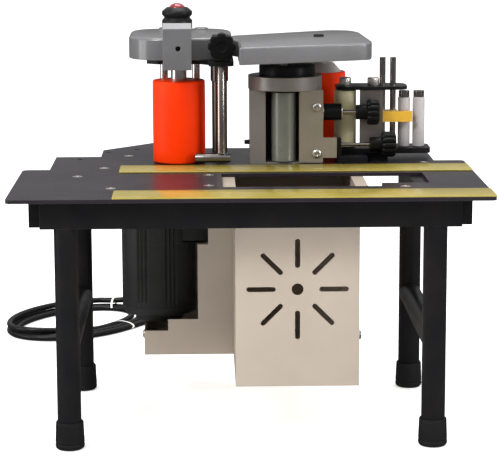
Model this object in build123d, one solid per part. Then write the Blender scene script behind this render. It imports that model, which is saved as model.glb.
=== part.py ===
from build123d import *
import os
from math import cos, hypot, pi, radians, sin, tan

# Bench-top edge banding machine.
# Working frame: X to the right, Y back from the table's front edge, Z up from the floor.
# Every part is moved forward by half the table's depth when it is written.

# Table
TABLE_WIDTH = 500.0
TABLE_DEPTH = 430.0
TABLE_TOP = 270.0
PLATE_T = 4.0
MAIN_DEPTH = 209.0  # full-width part of the table
RIGHT_DEPTH = 265.0  # depth of the table's right edge
BACK_INSET = 50.0  # how far the right back edge is ahead of the left one
LOBE_CORNER_R = 40.0
PLATE_CORNER_R = 6.0
SLOT_X = (-29.0, 192.0)
SLOT_Y = (77.0, 172.0)
SLOT_STEP = (141.0, 22.0)  # where the slot gets narrower, and by how much
STRIP_W = 50.0
STRIP_T = 1.5
STRIP_LEFT = -142.0
REAR_STRIP_Y = 180.0

# Stand
RAIL_H = 30.0
RAIL_WALL = 2.0
FRONT_RAIL_Y = 20.0
FRONT_RAIL_D = 12.0
RAIL_INSET = 21.0
SIDE_RAIL_W = 51.0
REAR_RAIL_W = 36.0
LEG_D = 25.0
TUBE_WALL = 1.5
LEG_INSET = 59.0
FRONT_LEG_Y = 33.0
LEG_SPACING = 244.0
BRACE_Z = 113.0
FOOT_D = 31.0
FOOT_H = 30.0
FOOT_FLOOR = 10.0

# Enclosures
SHEET = 1.5
BOX_BOTTOM = 58.0
FRONT_BOX_X = (-16.0, 115.0)
FRONT_BOX_Y = (60.0, 320.0)
SIDE_BOX_LEFT = -117.0
SIDE_BOX_Y = (205.0, 336.0)
BOX_LIP = 12.0
BOX_SCREW = (10.0, 111.0)  # right screw: distance behind the front face, and height
BOX_SCREW_HEAD = 3.5
VENT_Z = 163.0
VENT_COUNT = 8
VENT_R = (23.0, 54.0)
VENT_W = 5.4
VENT_HOLE_R = 6.3

# Motor and gearhead
FENCE_Y = 238.0  # line that the feed roller's front touches
ROLLER_D = 60.0
ROLLER_H = 93.0
CORE_D = 44.0
FEED_X = -76.0
SHAFT_D = 18.0
RUN_CLEAR = 0.05  # radial clearance of a running fit
GEAR_CENTRES = 24.5
PINION_TEETH = 11
GEAR_TEETH = 44
MOTOR_D = 86.0
MOTOR_WALL = 3.0
MOTOR_BOTTOM = 88.0
CAP_D = 56.0
CASE_RIGHT = 58.5  # from the motor's axis to the gearhead's right face
CASE_D = 66.0
CASE_H = 85.0
CASE_WALL = 5.0
ROTOR_SHAFT_D = 10.0

# Drive head, heights above the table top
PLATE_RISE = 113.0
DRIVE_PLATE_T = 5.0
HOUSING_H = 25.0
HOUSING_W = 118.0
HOUSING_D = 152.0
HOUSING_R = 50.0
HOUSING_WALL = 4.0
HOUSING_X = -74.0
COVER_RISE = 120.0
COVER_H = 19.0
COVER_WALL = 3.0
COVER_TOP_T = 4.0
COVER_SCREW = (86.0, 312.0)
COVER_SCREW_R = 6.0
POST_D = 9.0
COLUMN_D = 18.0
COLLAR_D = 21.0
COLUMN_AT = (-29.0, 352.0)
PULLEY_R = 13.0
PULLEY_H = 7.0
PULLEY_LIP = 2.0
PULLEY_LIP_T = 1.0
BELT_T = 1.7
BELT_GAP = 0.3

# Hold-down
ROD_D = 10.0
HOLD_X = -28.0
HOLD_Y = 236.0
FOOT_BAR_D = 11.0
FOOT_BAR_L = 40.0
FOOT_BAR_RISE = 3.0
KNOB_R = 16.5
KNOB_LOBES = 7
KNOB_T = 10.0
KNOB_Z = 136.0

# Start button
BUTTON_X = -77.0
SWITCH_W = 32.0
SWITCH_FRONT = 222.0
BOOT_R = 17.0
BUTTON_R = 9.0
BOOT_H = 23.5
BUTTON_RISE = 28.0
BUTTON_TRAVEL = 3.0

# Glue pot
POT_X = 45.0
POT_FRONT = 243.0
POT_R = 41.0
POT_WALL = 5.0
POT_H = 84.0
FLANGE_R = 42.0
FLANGE_H = 15.0
LID_R = 32.0
LID_H = 12.0
GLUE_X = 43.0
GLUE_R = 14.0
GLUE_SHAFT_R = 5.0

# Rear roller
REAR_X = 91.0
REAR_Y = 362.0

# Tape feed
TAPE_Y = 270.0  # front face of the guide plate
TAPE_BASE_Z = 7.5
TAPE_BASE_T = 6.0
TAPE_BASE_X = (104.0, 213.0)
TAPE_BASE_D = 42.0
TAPE_TOP_Z = 81.0
TAPE_TOP_T = 4.0
PINCH_R = 12.7
PINCH_X = 115.0
SCREW_Y = 253.0
PRESSURE_Z = 58.0
HEIGHT_Z = 21.0
ADJUST_R = 15.0
SLIDE_ROD_R = 3.4
SLIDE_RODS_X = (158.0, 170.0)
GUIDE_R = 7.0
GUIDE_X = (183.0, 200.0)
GUIDE_PIN_R = 3.0

# Mains lead
CORD_D = 8.0
COIL_CENTRE = (-218.0, 615.0)
COIL_SEMI = (122.0, 88.0)
COIL_TURN = 50.0
COIL_BAND = 34.0
COIL_H = 18.0
GLAND_AT = (-66.0, 90.0)  # x and height on the side enclosure's back
GLAND_L = 24.0

# Fasteners
CSK_R = 6.0
SHANK_R = 3.0
PAN_R = 5.0
HOLE_CLEAR = 0.2
TABLE_SCREWS = [(-186, 159), (-146, 74), (-43, 163), (-43, 89), (164, 76), (203, 251), (-160, 221),
                (-136, 318)]
SPARE_HOLES = [(-191, 290), (-161, 350), (-128, 372)]

UNDERSIDE = TABLE_TOP - PLATE_T
RAIL_BOTTOM = UNDERSIDE - RAIL_H
HALF = TABLE_WIDTH / 2
LEG_X = HALF - LEG_INSET
RAIL_OUT = HALF - RAIL_INSET
REAR_LEG_Y = FRONT_LEG_Y + LEG_SPACING
FEED_Y = FENCE_Y + ROLLER_D / 2
HOUSING_Y = FEED_Y - 23
MOTOR_X = FEED_X - GEAR_CENTRES
CASE_BOTTOM = UNDERSIDE - CASE_H
HOUSING_Z = TABLE_TOP + PLATE_RISE + DRIVE_PLATE_T
COVER_Z = TABLE_TOP + COVER_RISE
COVER_TOP = COVER_Z + COVER_H
PULLEY_A = TABLE_TOP + PLATE_RISE + DRIVE_PLATE_T + 2.5
PULLEY_B = PULLEY_A + PULLEY_H
GLUE_Y = FENCE_Y + GLUE_R + 1.0
GUIDE_Y = TAPE_Y + 15.0
PINCH_Y = TAPE_Y + PINCH_R + 1.3
SHAFT_TOP = COVER_TOP - COVER_TOP_T + 2.5

written = {}


def save(name, *solids):
    """Write one node, moved into the row's frame."""
    shape = solids[0] if len(solids) == 1 else Compound(children=list(solids))
    shape = shape.moved(Location((0, -TABLE_DEPTH / 2, 0)))
    export_step(shape, f"parts/{name}.step")
    written[name] = shape


def rod(x, y, z0, z1, r):
    """Upright cylinder."""
    return Cylinder(r, z1 - z0).moved(Location((x, y, (z0 + z1) / 2)))


def rod_x(x0, x1, y, z, r):
    """Cylinder along X."""
    return Cylinder(r, x1 - x0, rotation=(0, 90, 0)).moved(Location(((x0 + x1) / 2, y, z)))


def rod_y(x, y0, y1, z, r):
    """Cylinder along Y."""
    return Cylinder(r, y1 - y0, rotation=(90, 0, 0)).moved(Location((x, (y0 + y1) / 2, z)))


def block(x0, x1, y0, y1, z0, z1):
    """Box from its limits."""
    return Box(x1 - x0, y1 - y0, z1 - z0).moved(Location(((x0 + x1) / 2, (y0 + y1) / 2, (z0 + z1) / 2)))


def slab(points, z0, z1):
    """Flat plate from a closed outline in plan."""
    return extrude(make_face(Polyline(*points, close=True)), z1 - z0).moved(Location((0, 0, z0)))


def rounded(x, y, w, d, r, z0, z1):
    """Plate with rounded corners, centred at x, y."""
    return extrude(RectangleRounded(w, d, r), z1 - z0).moved(Location((x, y, z0)))


def lobed_disc(radius, lobes, depth):
    """Star-shaped knob head along Z, from z = 0."""
    head = Cylinder(radius * 0.74, depth)
    for n in range(lobes):
        turn = 2 * pi * n / lobes
        head += Cylinder(radius * 0.3, depth).moved(
            Location((radius * 0.7 * cos(turn), radius * 0.7 * sin(turn), 0)))
    return head.moved(Location((0, 0, depth / 2)))


def spur_gear(teeth, module, z0, z1, bore, phase):
    """Straight-toothed gear with short teeth and free backlash."""
    pitch_r = teeth * module / 2
    tip_r = pitch_r + 0.5 * module
    root_r = pitch_r - 0.95 * module
    step = 2 * pi / teeth
    points = []
    for n in range(teeth):
        mid = phase + n * step
        for r, share in ((root_r, -0.24), (tip_r, -0.12), (tip_r, 0.12), (root_r, 0.24)):
            points.append((r * cos(mid + share * step), r * sin(mid + share * step)))
    gear = extrude(make_face(Polyline(*points, close=True)), z1 - z0).moved(Location((0, 0, z0)))
    return gear - rod(0, 0, z0 - 1, z1 + 1, bore)


def pulley(x, y, z0, bore):
    """Flanged belt pulley."""
    body = rod(x, y, z0, z0 + PULLEY_H, PULLEY_R)
    body += rod(x, y, z0, z0 + PULLEY_LIP_T, PULLEY_R + PULLEY_LIP)
    body += rod(x, y, z0 + PULLEY_H - PULLEY_LIP_T, z0 + PULLEY_H, PULLEY_R + PULLEY_LIP)
    return body - rod(x, y, z0 - 1, z0 + PULLEY_H + 1, bore)


def belt(a, b, z0):
    """Flat belt round two equal pulleys whose body starts at z0."""
    length = hypot(b[0] - a[0], b[1] - a[1])
    low = z0 + PULLEY_LIP_T + BELT_GAP
    width = PULLEY_H - 2 * (PULLEY_LIP_T + BELT_GAP)
    inner = PULLEY_R + BELT_GAP
    ring = extrude(SlotCenterToCenter(length, 2 * (inner + BELT_T)), width)
    ring -= extrude(SlotCenterToCenter(length, 2 * inner), width)
    angle = Vector(1, 0, 0).get_signed_angle(Vector(b[0] - a[0], b[1] - a[1], 0), Vector(0, 0, 1))
    middle = ((a[0] + b[0]) / 2, (a[1] + b[1]) / 2, low)
    return ring.moved(Location(middle, (0, 0, angle)))


def build_stand():
    """Rails, legs, braces and feet."""
    save("front_rail", block(-RAIL_OUT + 12, RAIL_OUT - 12, FRONT_RAIL_Y, FRONT_RAIL_Y + FRONT_RAIL_D,
                             RAIL_BOTTOM, UNDERSIDE)
         - block(-RAIL_OUT, RAIL_OUT, FRONT_RAIL_Y + RAIL_WALL, FRONT_RAIL_Y + FRONT_RAIL_D - RAIL_WALL,
                 RAIL_BOTTOM + RAIL_WALL, UNDERSIDE - RAIL_WALL))
    rail_front = FRONT_RAIL_Y + FRONT_RAIL_D
    rail_back = REAR_LEG_Y + LEG_D / 2 + 2.5
    inner = RAIL_OUT - SIDE_RAIL_W
    for name, side in (("left", -1), ("right", 1)):
        outer_shape = block(inner, RAIL_OUT, rail_front, MAIN_DEPTH, RAIL_BOTTOM, UNDERSIDE)
        outer_shape += block(inner, inner + REAR_RAIL_W, MAIN_DEPTH, rail_back, RAIL_BOTTOM, UNDERSIDE)
        hollow = block(inner + RAIL_WALL, RAIL_OUT - RAIL_WALL,
                       rail_front + RAIL_WALL, MAIN_DEPTH - RAIL_WALL,
                       RAIL_BOTTOM + RAIL_WALL, UNDERSIDE - RAIL_WALL)
        hollow += block(inner + RAIL_WALL, inner + REAR_RAIL_W - RAIL_WALL, MAIN_DEPTH - RAIL_WALL,
                        rail_back + 1, RAIL_BOTTOM + RAIL_WALL, UNDERSIDE - RAIL_WALL)
        rail = outer_shape - hollow
        if side < 0:
            rail = mirror(rail, Plane.YZ)
        for x, y in TABLE_SCREWS + SPARE_HOLES:
            rail -= rod(x, y, UNDERSIDE - RAIL_H / 2, UNDERSIDE + 1, SHANK_R + HOLE_CLEAR)
        save(f"{name}_side_rail", rail)
        tube_r = LEG_D / 2
        for place, y in (("front", FRONT_LEG_Y), ("rear", REAR_LEG_Y)):
            leg = rod(side * LEG_X, y, FOOT_FLOOR, RAIL_BOTTOM, tube_r)
            leg -= rod(side * LEG_X, y, FOOT_FLOOR, RAIL_BOTTOM, tube_r - TUBE_WALL)
            save(f"{place}_{name}_leg", leg)
        brace = rod_y(side * LEG_X, FRONT_LEG_Y + 3, REAR_LEG_Y - 3, BRACE_Z, tube_r)
        brace -= rod_y(side * LEG_X, FRONT_LEG_Y, REAR_LEG_Y, BRACE_Z, tube_r - TUBE_WALL)
        for y in (FRONT_LEG_Y, REAR_LEG_Y):
            brace -= rod(side * LEG_X, y, BRACE_Z - LEG_D, BRACE_Z + LEG_D, tube_r)
        save(f"{name}_brace", brace)
    feet = []
    for x in (-LEG_X, LEG_X):
        for y in (FRONT_LEG_Y, REAR_LEG_Y):
            foot = Cone(FOOT_D / 2, FOOT_D / 2 - 1.2, FOOT_H).moved(Location((x, y, FOOT_H / 2)))
            foot = fillet(foot.edges().group_by(Axis.Z)[0], 4)
            feet.append(foot - rod(x, y, FOOT_FLOOR, FOOT_H + 1, LEG_D / 2))
    save("rubber_feet", *feet)


def table_outline():
    """Plan of the table plate."""
    back = TABLE_DEPTH - 5
    shelf = TABLE_DEPTH - BACK_INSET
    lobe_x = HALF - 34
    left = -HALF
    outline = [
        (left, 0), (HALF, 0), (HALF, RIGHT_DEPTH), (lobe_x, RIGHT_DEPTH), (lobe_x, shelf), (-50, shelf),
        (-66, TABLE_DEPTH), (left + 139, TABLE_DEPTH), (left + 82, back - 57), (left + 82, MAIN_DEPTH + 102),
        (left + 30, MAIN_DEPTH + 102), (left + 30, MAIN_DEPTH), (left, MAIN_DEPTH)]
    return outline, (lobe_x, shelf)


def build_table():
    """Plate, wear strips and screws."""
    outline, lobe = table_outline()
    plate = slab(outline, UNDERSIDE, TABLE_TOP)
    corner = plate.edges().filter_by(Axis.Z).sort_by_distance((lobe[0], lobe[1], UNDERSIDE))[0]
    plate = fillet(corner, LOBE_CORNER_R)
    corners = [(-HALF, 0), (HALF, 0), (HALF, RIGHT_DEPTH), (-HALF, MAIN_DEPTH)]
    for x, y in corners:
        edge = plate.edges().filter_by(Axis.Z).sort_by_distance((x, y, UNDERSIDE))[0]
        plate = fillet(edge, PLATE_CORNER_R)
    plate -= block(SLOT_X[0], SLOT_STEP[0], SLOT_Y[0], SLOT_Y[1], UNDERSIDE - 1, TABLE_TOP + 1)
    plate -= block(SLOT_STEP[0] - 1, SLOT_X[1], SLOT_Y[0] + SLOT_STEP[1], SLOT_Y[1],
                   UNDERSIDE - 1, TABLE_TOP + 1)
    plate -= rod(FEED_X, FEED_Y, UNDERSIDE - 1, TABLE_TOP + 1, SHAFT_D / 2 + 4)
    plate -= rod(GLUE_X, GLUE_Y, UNDERSIDE - 1, TABLE_TOP + 1, GLUE_SHAFT_R + 0.5)
    plate -= rod(REAR_X, REAR_Y, UNDERSIDE - 1, TABLE_TOP + 1, SHAFT_D / 2 + 4)
    screws = []
    for x, y in TABLE_SCREWS:
        head = Cone(SHANK_R, CSK_R, CSK_R - SHANK_R).moved(
            Location((x, y, TABLE_TOP - (CSK_R - SHANK_R) / 2)))
        plate -= Cone(SHANK_R, CSK_R + HOLE_CLEAR, CSK_R - SHANK_R + HOLE_CLEAR).moved(
            Location((x, y, TABLE_TOP - (CSK_R - SHANK_R + HOLE_CLEAR) / 2)))
        plate -= rod(x, y, UNDERSIDE - 1, TABLE_TOP, SHANK_R + HOLE_CLEAR)
        shank = rod(x, y, UNDERSIDE - 8, TABLE_TOP - 1, SHANK_R)
        socket = Cylinder(2.4, 2).moved(Location((x, y, TABLE_TOP)))
        screws.append(head + shank - socket)
    for x, y in SPARE_HOLES:
        plate -= rod(x, y, UNDERSIDE - 1, TABLE_TOP + 1, SHANK_R + HOLE_CLEAR)
    save("table_plate", plate)
    save("front_wear_strip", block(STRIP_LEFT, HALF, 0, STRIP_W, TABLE_TOP, TABLE_TOP + STRIP_T))
    save("rear_wear_strip", block(STRIP_LEFT, HALF - 0.5, REAR_STRIP_Y, REAR_STRIP_Y + STRIP_W,
                                  TABLE_TOP, TABLE_TOP + STRIP_T))
    return screws


def vent_cut(x, z):
    """Sunburst of slots through the front enclosure's face."""
    y0 = FRONT_BOX_Y[0] - 1
    y1 = FRONT_BOX_Y[0] + SHEET + 1
    cut = rod_y(x, y0, y1, z, VENT_HOLE_R)
    reach = (VENT_R[0] + VENT_R[1]) / 2
    length = VENT_R[1] - VENT_R[0]
    for n in range(VENT_COUNT):
        angle = 360 * n / VENT_COUNT
        slot = extrude(SlotOverall(length, VENT_W), y1 - y0).moved(Location((reach, 0, 0)))
        slot = slot.moved(Location((0, 0, 0), (0, 0, angle)))
        cut += slot.moved(Location((x, y1, z), (90, 0, 0)))
    return cut


def build_enclosures():
    """Folded sheet boxes under the table."""
    x0, x1 = FRONT_BOX_X
    y0, y1 = FRONT_BOX_Y
    box = block(x0, x1, y0, y1, BOX_BOTTOM, UNDERSIDE)
    box -= block(x0 + SHEET, x1 - SHEET, y0 + SHEET, y1 - SHEET, BOX_BOTTOM + SHEET, UNDERSIDE + 1)
    box += block(x1, x1 + BOX_LIP, y0, SIDE_BOX_Y[0] - 10, UNDERSIDE - SHEET, UNDERSIDE)
    box += block(x0 - BOX_LIP, x0, y0 + 20, SIDE_BOX_Y[0] - 10, UNDERSIDE - SHEET, UNDERSIDE)
    box -= vent_cut((x0 + x1) / 2, VENT_Z)
    side_y = (SIDE_BOX_Y[0] + SIDE_BOX_Y[1]) / 2
    screw_y = y0 + BOX_SCREW[0]
    screw_z = BOX_SCREW[1]
    box -= rod_x(x1 - 5, x1 + 1, screw_y, screw_z, SHANK_R - 0.4 + HOLE_CLEAR)
    for x, y in TABLE_SCREWS:
        box -= rod(x, y, UNDERSIDE - 9, UNDERSIDE + 1, SHANK_R + HOLE_CLEAR)
    save("front_enclosure", box)

    case_right = MOTOR_X + MOTOR_D / 2 + 1.5
    step_x = case_right + 12
    low_z = MOTOR_BOTTOM + 11
    front = [(x0, UNDERSIDE), (step_x, UNDERSIDE), (step_x, CASE_BOTTOM + 4), (case_right, CASE_BOTTOM + 4),
             (case_right, low_z), (case_right - 34, low_z), (case_right - 34, MOTOR_BOTTOM - 2),
             (SIDE_BOX_LEFT, MOTOR_BOTTOM - 2), (SIDE_BOX_LEFT, BOX_BOTTOM), (x0, BOX_BOTTOM)]
    face = make_face(Polyline(*[(x, z, 0) for x, z in front], close=True))
    panel = extrude(face, SHEET).moved(Location((0, SIDE_BOX_Y[0] + SHEET, 0), (90, 0, 0)))
    side = panel + block(SIDE_BOX_LEFT, x0, SIDE_BOX_Y[0], SIDE_BOX_Y[1], BOX_BOTTOM, BOX_BOTTOM + SHEET)
    side += block(SIDE_BOX_LEFT, SIDE_BOX_LEFT + SHEET, SIDE_BOX_Y[0], SIDE_BOX_Y[1],
                  BOX_BOTTOM, MOTOR_BOTTOM - 2)
    side += block(SIDE_BOX_LEFT, x0, SIDE_BOX_Y[1] - SHEET, SIDE_BOX_Y[1], BOX_BOTTOM, UNDERSIDE)
    left_z = MOTOR_BOTTOM - 16
    side -= rod_x(SIDE_BOX_LEFT - 1, SIDE_BOX_LEFT + 5, side_y - 20, left_z, SHANK_R - 0.4 + HOLE_CLEAR)
    gx, gz = GLAND_AT
    side -= rod_y(gx, SIDE_BOX_Y[1] - 3, SIDE_BOX_Y[1] + 1, gz, CORD_D / 2 + 3)
    save("side_enclosure", side)
    screws = []
    shank_r = SHANK_R - 0.4
    right_head = rod_x(x1, x1 + BOX_SCREW_HEAD, screw_y, screw_z, PAN_R)
    screws.append(right_head + rod_x(x1 - 8, x1 + 1, screw_y, screw_z, shank_r))
    left_head = rod_x(SIDE_BOX_LEFT - BOX_SCREW_HEAD, SIDE_BOX_LEFT, side_y - 20, left_z, PAN_R)
    screws.append(left_head + rod_x(SIDE_BOX_LEFT - 1, SIDE_BOX_LEFT + 8, side_y - 20, left_z, shank_r))
    return screws


def gearhead_shape(inset, z0, z1):
    """Motor-sized barrel with a gear chamber on its right, moved inwards by inset."""
    right = MOTOR_X + CASE_RIGHT - inset
    half = CASE_D / 2 - inset
    chamber = block(MOTOR_X, right, FEED_Y - half, FEED_Y + half, z0, z1)
    return rod(MOTOR_X, FEED_Y, z0, z1, MOTOR_D / 2 - inset) + chamber


def build_motor():
    """Motor, gearhead and the parts inside them."""
    module = 2 * GEAR_CENTRES / (PINION_TEETH + GEAR_TEETH)
    motor_r = MOTOR_D / 2
    case = gearhead_shape(0, CASE_BOTTOM, UNDERSIDE)
    case -= gearhead_shape(CASE_WALL, CASE_BOTTOM + CASE_WALL, UNDERSIDE - CASE_WALL)
    rotor_bore = ROTOR_SHAFT_D / 2 + RUN_CLEAR
    case -= rod(MOTOR_X, FEED_Y, CASE_BOTTOM - 1, CASE_BOTTOM + CASE_WALL + 1, rotor_bore)
    case -= rod(FEED_X, FEED_Y, UNDERSIDE - CASE_WALL - 1, UNDERSIDE + 1, SHAFT_D / 2 + 4)
    case_floor = CASE_BOTTOM + CASE_WALL
    case -= rod(FEED_X, FEED_Y, case_floor - 2, case_floor + 1, SHAFT_D / 2 + RUN_CLEAR)
    save("gearhead_case", case)

    cap_top = MOTOR_BOTTOM + 17
    shell = rod(MOTOR_X, FEED_Y, cap_top, CASE_BOTTOM, motor_r)
    shell -= rod(MOTOR_X, FEED_Y, cap_top - 1, CASE_BOTTOM - MOTOR_WALL, motor_r - MOTOR_WALL)
    shell -= rod(MOTOR_X, FEED_Y, CASE_BOTTOM - MOTOR_WALL - 1, CASE_BOTTOM + 1, rotor_bore)
    save("motor_shell", shell)
    cap = rod(MOTOR_X, FEED_Y, MOTOR_BOTTOM + 8, cap_top, motor_r)
    cap = fillet(cap.edges().group_by(Axis.Z)[0], 6)
    cap += rod(MOTOR_X, FEED_Y, MOTOR_BOTTOM, MOTOR_BOTTOM + 9, CAP_D / 2)
    cap -= rod(MOTOR_X, FEED_Y, cap_top - 6, cap_top + 1, motor_r - MOTOR_WALL)
    cap -= rod(MOTOR_X, FEED_Y, MOTOR_BOTTOM + 4, cap_top + 1, rotor_bore)
    save("motor_end_cap", cap)
    stator_z = (cap_top + 6, CASE_BOTTOM - 12)
    stator = rod(MOTOR_X, FEED_Y, stator_z[0], stator_z[1], motor_r - MOTOR_WALL)
    stator -= rod(MOTOR_X, FEED_Y, stator_z[0] - 1, stator_z[1] + 1, 28)
    save("motor_stator", stator)
    gear_z = (CASE_BOTTOM + CASE_WALL + 10, CASE_BOTTOM + CASE_WALL + 20)
    rotor = rod(MOTOR_X, FEED_Y, stator_z[0] + 2, stator_z[1] - 2, 27)
    rotor += rod(MOTOR_X, FEED_Y, MOTOR_BOTTOM + 5, gear_z[0] - 1, ROTOR_SHAFT_D / 2)
    rotor += rod(MOTOR_X, FEED_Y, gear_z[0] - 2, gear_z[1] + 2, 3.2)
    pinion = spur_gear(PINION_TEETH, module, gear_z[0], gear_z[1], 3.0, 0)
    rotor += pinion.moved(Location((MOTOR_X, FEED_Y, 0)))
    save("motor_rotor", rotor)
    wheel = spur_gear(GEAR_TEETH, module, gear_z[0], gear_z[1], SHAFT_D / 2, pi + pi / GEAR_TEETH)
    return wheel.moved(Location((FEED_X, FEED_Y, 0)))


def build_feed(output_gear):
    """Feed shaft, its roller and wheels."""
    shaft_r = SHAFT_D / 2
    shaft = rod(FEED_X, FEED_Y, CASE_BOTTOM + CASE_WALL - 1.5, PULLEY_A + PULLEY_H + 2, shaft_r)
    save("feed_shaft", shaft)
    save("feed_wheels", output_gear, pulley(FEED_X, FEED_Y, PULLEY_A, shaft_r))
    bottom = TABLE_TOP + 1
    core = rod(FEED_X, FEED_Y, bottom, bottom + ROLLER_H, CORE_D / 2)
    core -= rod(FEED_X, FEED_Y, bottom - 1, bottom + ROLLER_H + 1, shaft_r)
    save("feed_roller_core", core)
    sleeve = rod(FEED_X, FEED_Y, bottom, bottom + ROLLER_H, ROLLER_D / 2)
    sleeve -= rod(FEED_X, FEED_Y, bottom, bottom + ROLLER_H, CORE_D / 2)
    save("feed_roller_sleeve", sleeve)
    bush_r = shaft_r + 4
    plate_z = TABLE_TOP + PLATE_RISE
    bushes = []
    for x, y, z0, z1 in ((FEED_X, FEED_Y, UNDERSIDE - CASE_WALL, TABLE_TOP),
                         (FEED_X, FEED_Y, plate_z, plate_z + DRIVE_PLATE_T + 1.5),
                         (REAR_X, REAR_Y, UNDERSIDE - 14, TABLE_TOP)):
        bushes.append(rod(x, y, z0, z1, bush_r) - rod(x, y, z0 - 1, z1 + 1, shaft_r + RUN_CLEAR))
    flange = rod(REAR_X, REAR_Y, UNDERSIDE - 3, UNDERSIDE, bush_r + 6)
    flange -= rod(REAR_X, REAR_Y, UNDERSIDE - 4, UNDERSIDE + 1, bush_r - 1)
    bushes[2] += flange
    save("shaft_bushes", *bushes)


def cover_outline():
    """Plan of the angled cover, from its near left corner."""
    join = HOUSING_X + HOUSING_W / 2
    return [(join + 6, 160), (138, 216), (142, 243), (138, 374), (130, 402), (105, 410), (join, 332),
            (join, 275), (join + 6, 262)]


def build_head():
    """Posts, drive plate, housing, cover and belts."""
    plate_z = TABLE_TOP + PLATE_RISE
    posts = []
    for x in (-93.5, -56.5):
        posts.append(rod(x, 312, TABLE_TOP, plate_z, POST_D / 2))
    column = rod(COLUMN_AT[0], COLUMN_AT[1], TABLE_TOP, plate_z, COLUMN_D / 2)
    column += rod(COLUMN_AT[0], COLUMN_AT[1], plate_z - 29, plate_z, COLLAR_D / 2)
    save("support_posts", *posts, column)
    right = HOUSING_X + HOUSING_W / 2 + 1
    outline = [(-112, 262), (-100, 252), (-52, 252), (-42, 240), (-42, 224), (right - 2, 224),
               (right, 230), (right, 366), (right - 6, 372), (-106, 372), (-112, 366)]
    plate = slab(outline, plate_z, plate_z + DRIVE_PLATE_T)
    plate -= rod(FEED_X, FEED_Y, plate_z - 1, plate_z + 9, SHAFT_D / 2 + 4)
    plate -= rod(HOLD_X, HOLD_Y, plate_z - 1, plate_z + 9, ROD_D / 2 + 0.5)
    save("drive_plate", plate)

    top = HOUSING_Z + HOUSING_H
    middle_y = HOUSING_Y + HOUSING_D / 2
    housing = rounded(HOUSING_X, middle_y, HOUSING_W, HOUSING_D, HOUSING_R, HOUSING_Z, top)
    housing = fillet(housing.edges().group_by(Axis.Z)[-1], 1.5)
    outer = rounded(HOUSING_X, middle_y, HOUSING_W, HOUSING_D, HOUSING_R, HOUSING_Z - 20, top)
    boss = block(HOLD_X - 10, HOLD_X + 10, HOLD_Y - 11, 275, HOUSING_Z, top + 2)
    housing += boss
    housing -= rounded(HOUSING_X, middle_y, HOUSING_W - 2 * HOUSING_WALL, HOUSING_D - 2 * HOUSING_WALL,
                       HOUSING_R - HOUSING_WALL, HOUSING_Z - 1, top - HOUSING_WALL)
    window_z = (HOUSING_Z + 2, top - HOUSING_WALL - 2)
    wall_x = HOUSING_X + HOUSING_W / 2
    housing -= block(wall_x - HOUSING_WALL - 2, wall_x + 1, 278, 328, window_z[0], window_z[1])
    for x, y in ((-50, 372), (-92, 378)):
        housing += rod(x, y, top - 0.5, top + 2.5, 8)
    housing -= rod(HOLD_X, HOLD_Y, HOUSING_Z - 1, top + 9, ROD_D / 2 + RUN_CLEAR)
    knob_z = TABLE_TOP + KNOB_Z
    housing -= rod_y(HOLD_X, HOLD_Y - 12, HOLD_Y, knob_z, 3.0 + RUN_CLEAR)
    save("top_housing", housing)

    cover = slab(cover_outline(), COVER_Z, COVER_TOP)
    plan = make_face(Polyline(*cover_outline(), close=True))
    inner_face = offset(plan, -COVER_WALL, kind=Kind.INTERSECTION)
    cover -= extrude(inner_face, COVER_H - COVER_TOP_T + 1).moved(Location((0, 0, COVER_Z - 1)))
    cover -= block(wall_x - 1, wall_x + COVER_WALL + 2, 278, 328, COVER_Z + 1, COVER_TOP - COVER_TOP_T)
    bore_z = COVER_TOP - COVER_TOP_T
    for x, y, r in ((GLUE_X, GLUE_Y, GLUE_SHAFT_R), (REAR_X, REAR_Y, SHAFT_D / 2)):
        cover -= rod(x, y, bore_z - 1, bore_z + 3, r + RUN_CLEAR)
    cover_screw = rod(COVER_SCREW[0], COVER_SCREW[1], COVER_TOP - 1.5, COVER_TOP + 2.5, COVER_SCREW_R)
    cover -= cover_screw
    save("top_cover", cover)
    feed_at = (FEED_X, FEED_Y)
    rear_at = (REAR_X, REAR_Y)
    save("drive_belts", belt(feed_at, rear_at, PULLEY_A), belt(rear_at, (GLUE_X, GLUE_Y), PULLEY_B))
    return outer, cover_screw


def build_hold_down():
    """Vertical rod with a foot bar, and the star knob that clamps it."""
    z = TABLE_TOP + FOOT_BAR_RISE + FOOT_BAR_D / 2
    bar = rod_x(HOLD_X + ROD_D - FOOT_BAR_L, HOLD_X + ROD_D, HOLD_Y, z, FOOT_BAR_D / 2)
    bar -= rod(HOLD_X, HOLD_Y, z, z + FOOT_BAR_D, ROD_D / 2 - 1.5)
    save("foot_bar", bar)
    upright = rod(HOLD_X, HOLD_Y, z + FOOT_BAR_D / 2, HOUSING_Z + HOUSING_H + 3.5, ROD_D / 2)
    upright -= rod_x(HOLD_X - ROD_D, HOLD_X + ROD_D, HOLD_Y, z, FOOT_BAR_D / 2)
    upright += rod(HOLD_X, HOLD_Y, z, z + FOOT_BAR_D / 2 + 1, ROD_D / 2 - 1.5)
    save("hold_down_rod", upright)
    knob_z = TABLE_TOP + KNOB_Z
    boss_front = HOLD_Y - 11
    face = boss_front - 6
    head = lobed_disc(KNOB_R, KNOB_LOBES, KNOB_T)
    head = head.moved(Location((HOLD_X, face, knob_z), (90, 0, 0)))
    knob = head + rod_y(HOLD_X, face - 1, boss_front - 0.5, knob_z, 7)
    knob += rod_y(HOLD_X, face - 1, HOLD_Y - ROD_D / 2 - 0.3, knob_z, 3)
    save("star_knob", knob)


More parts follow.
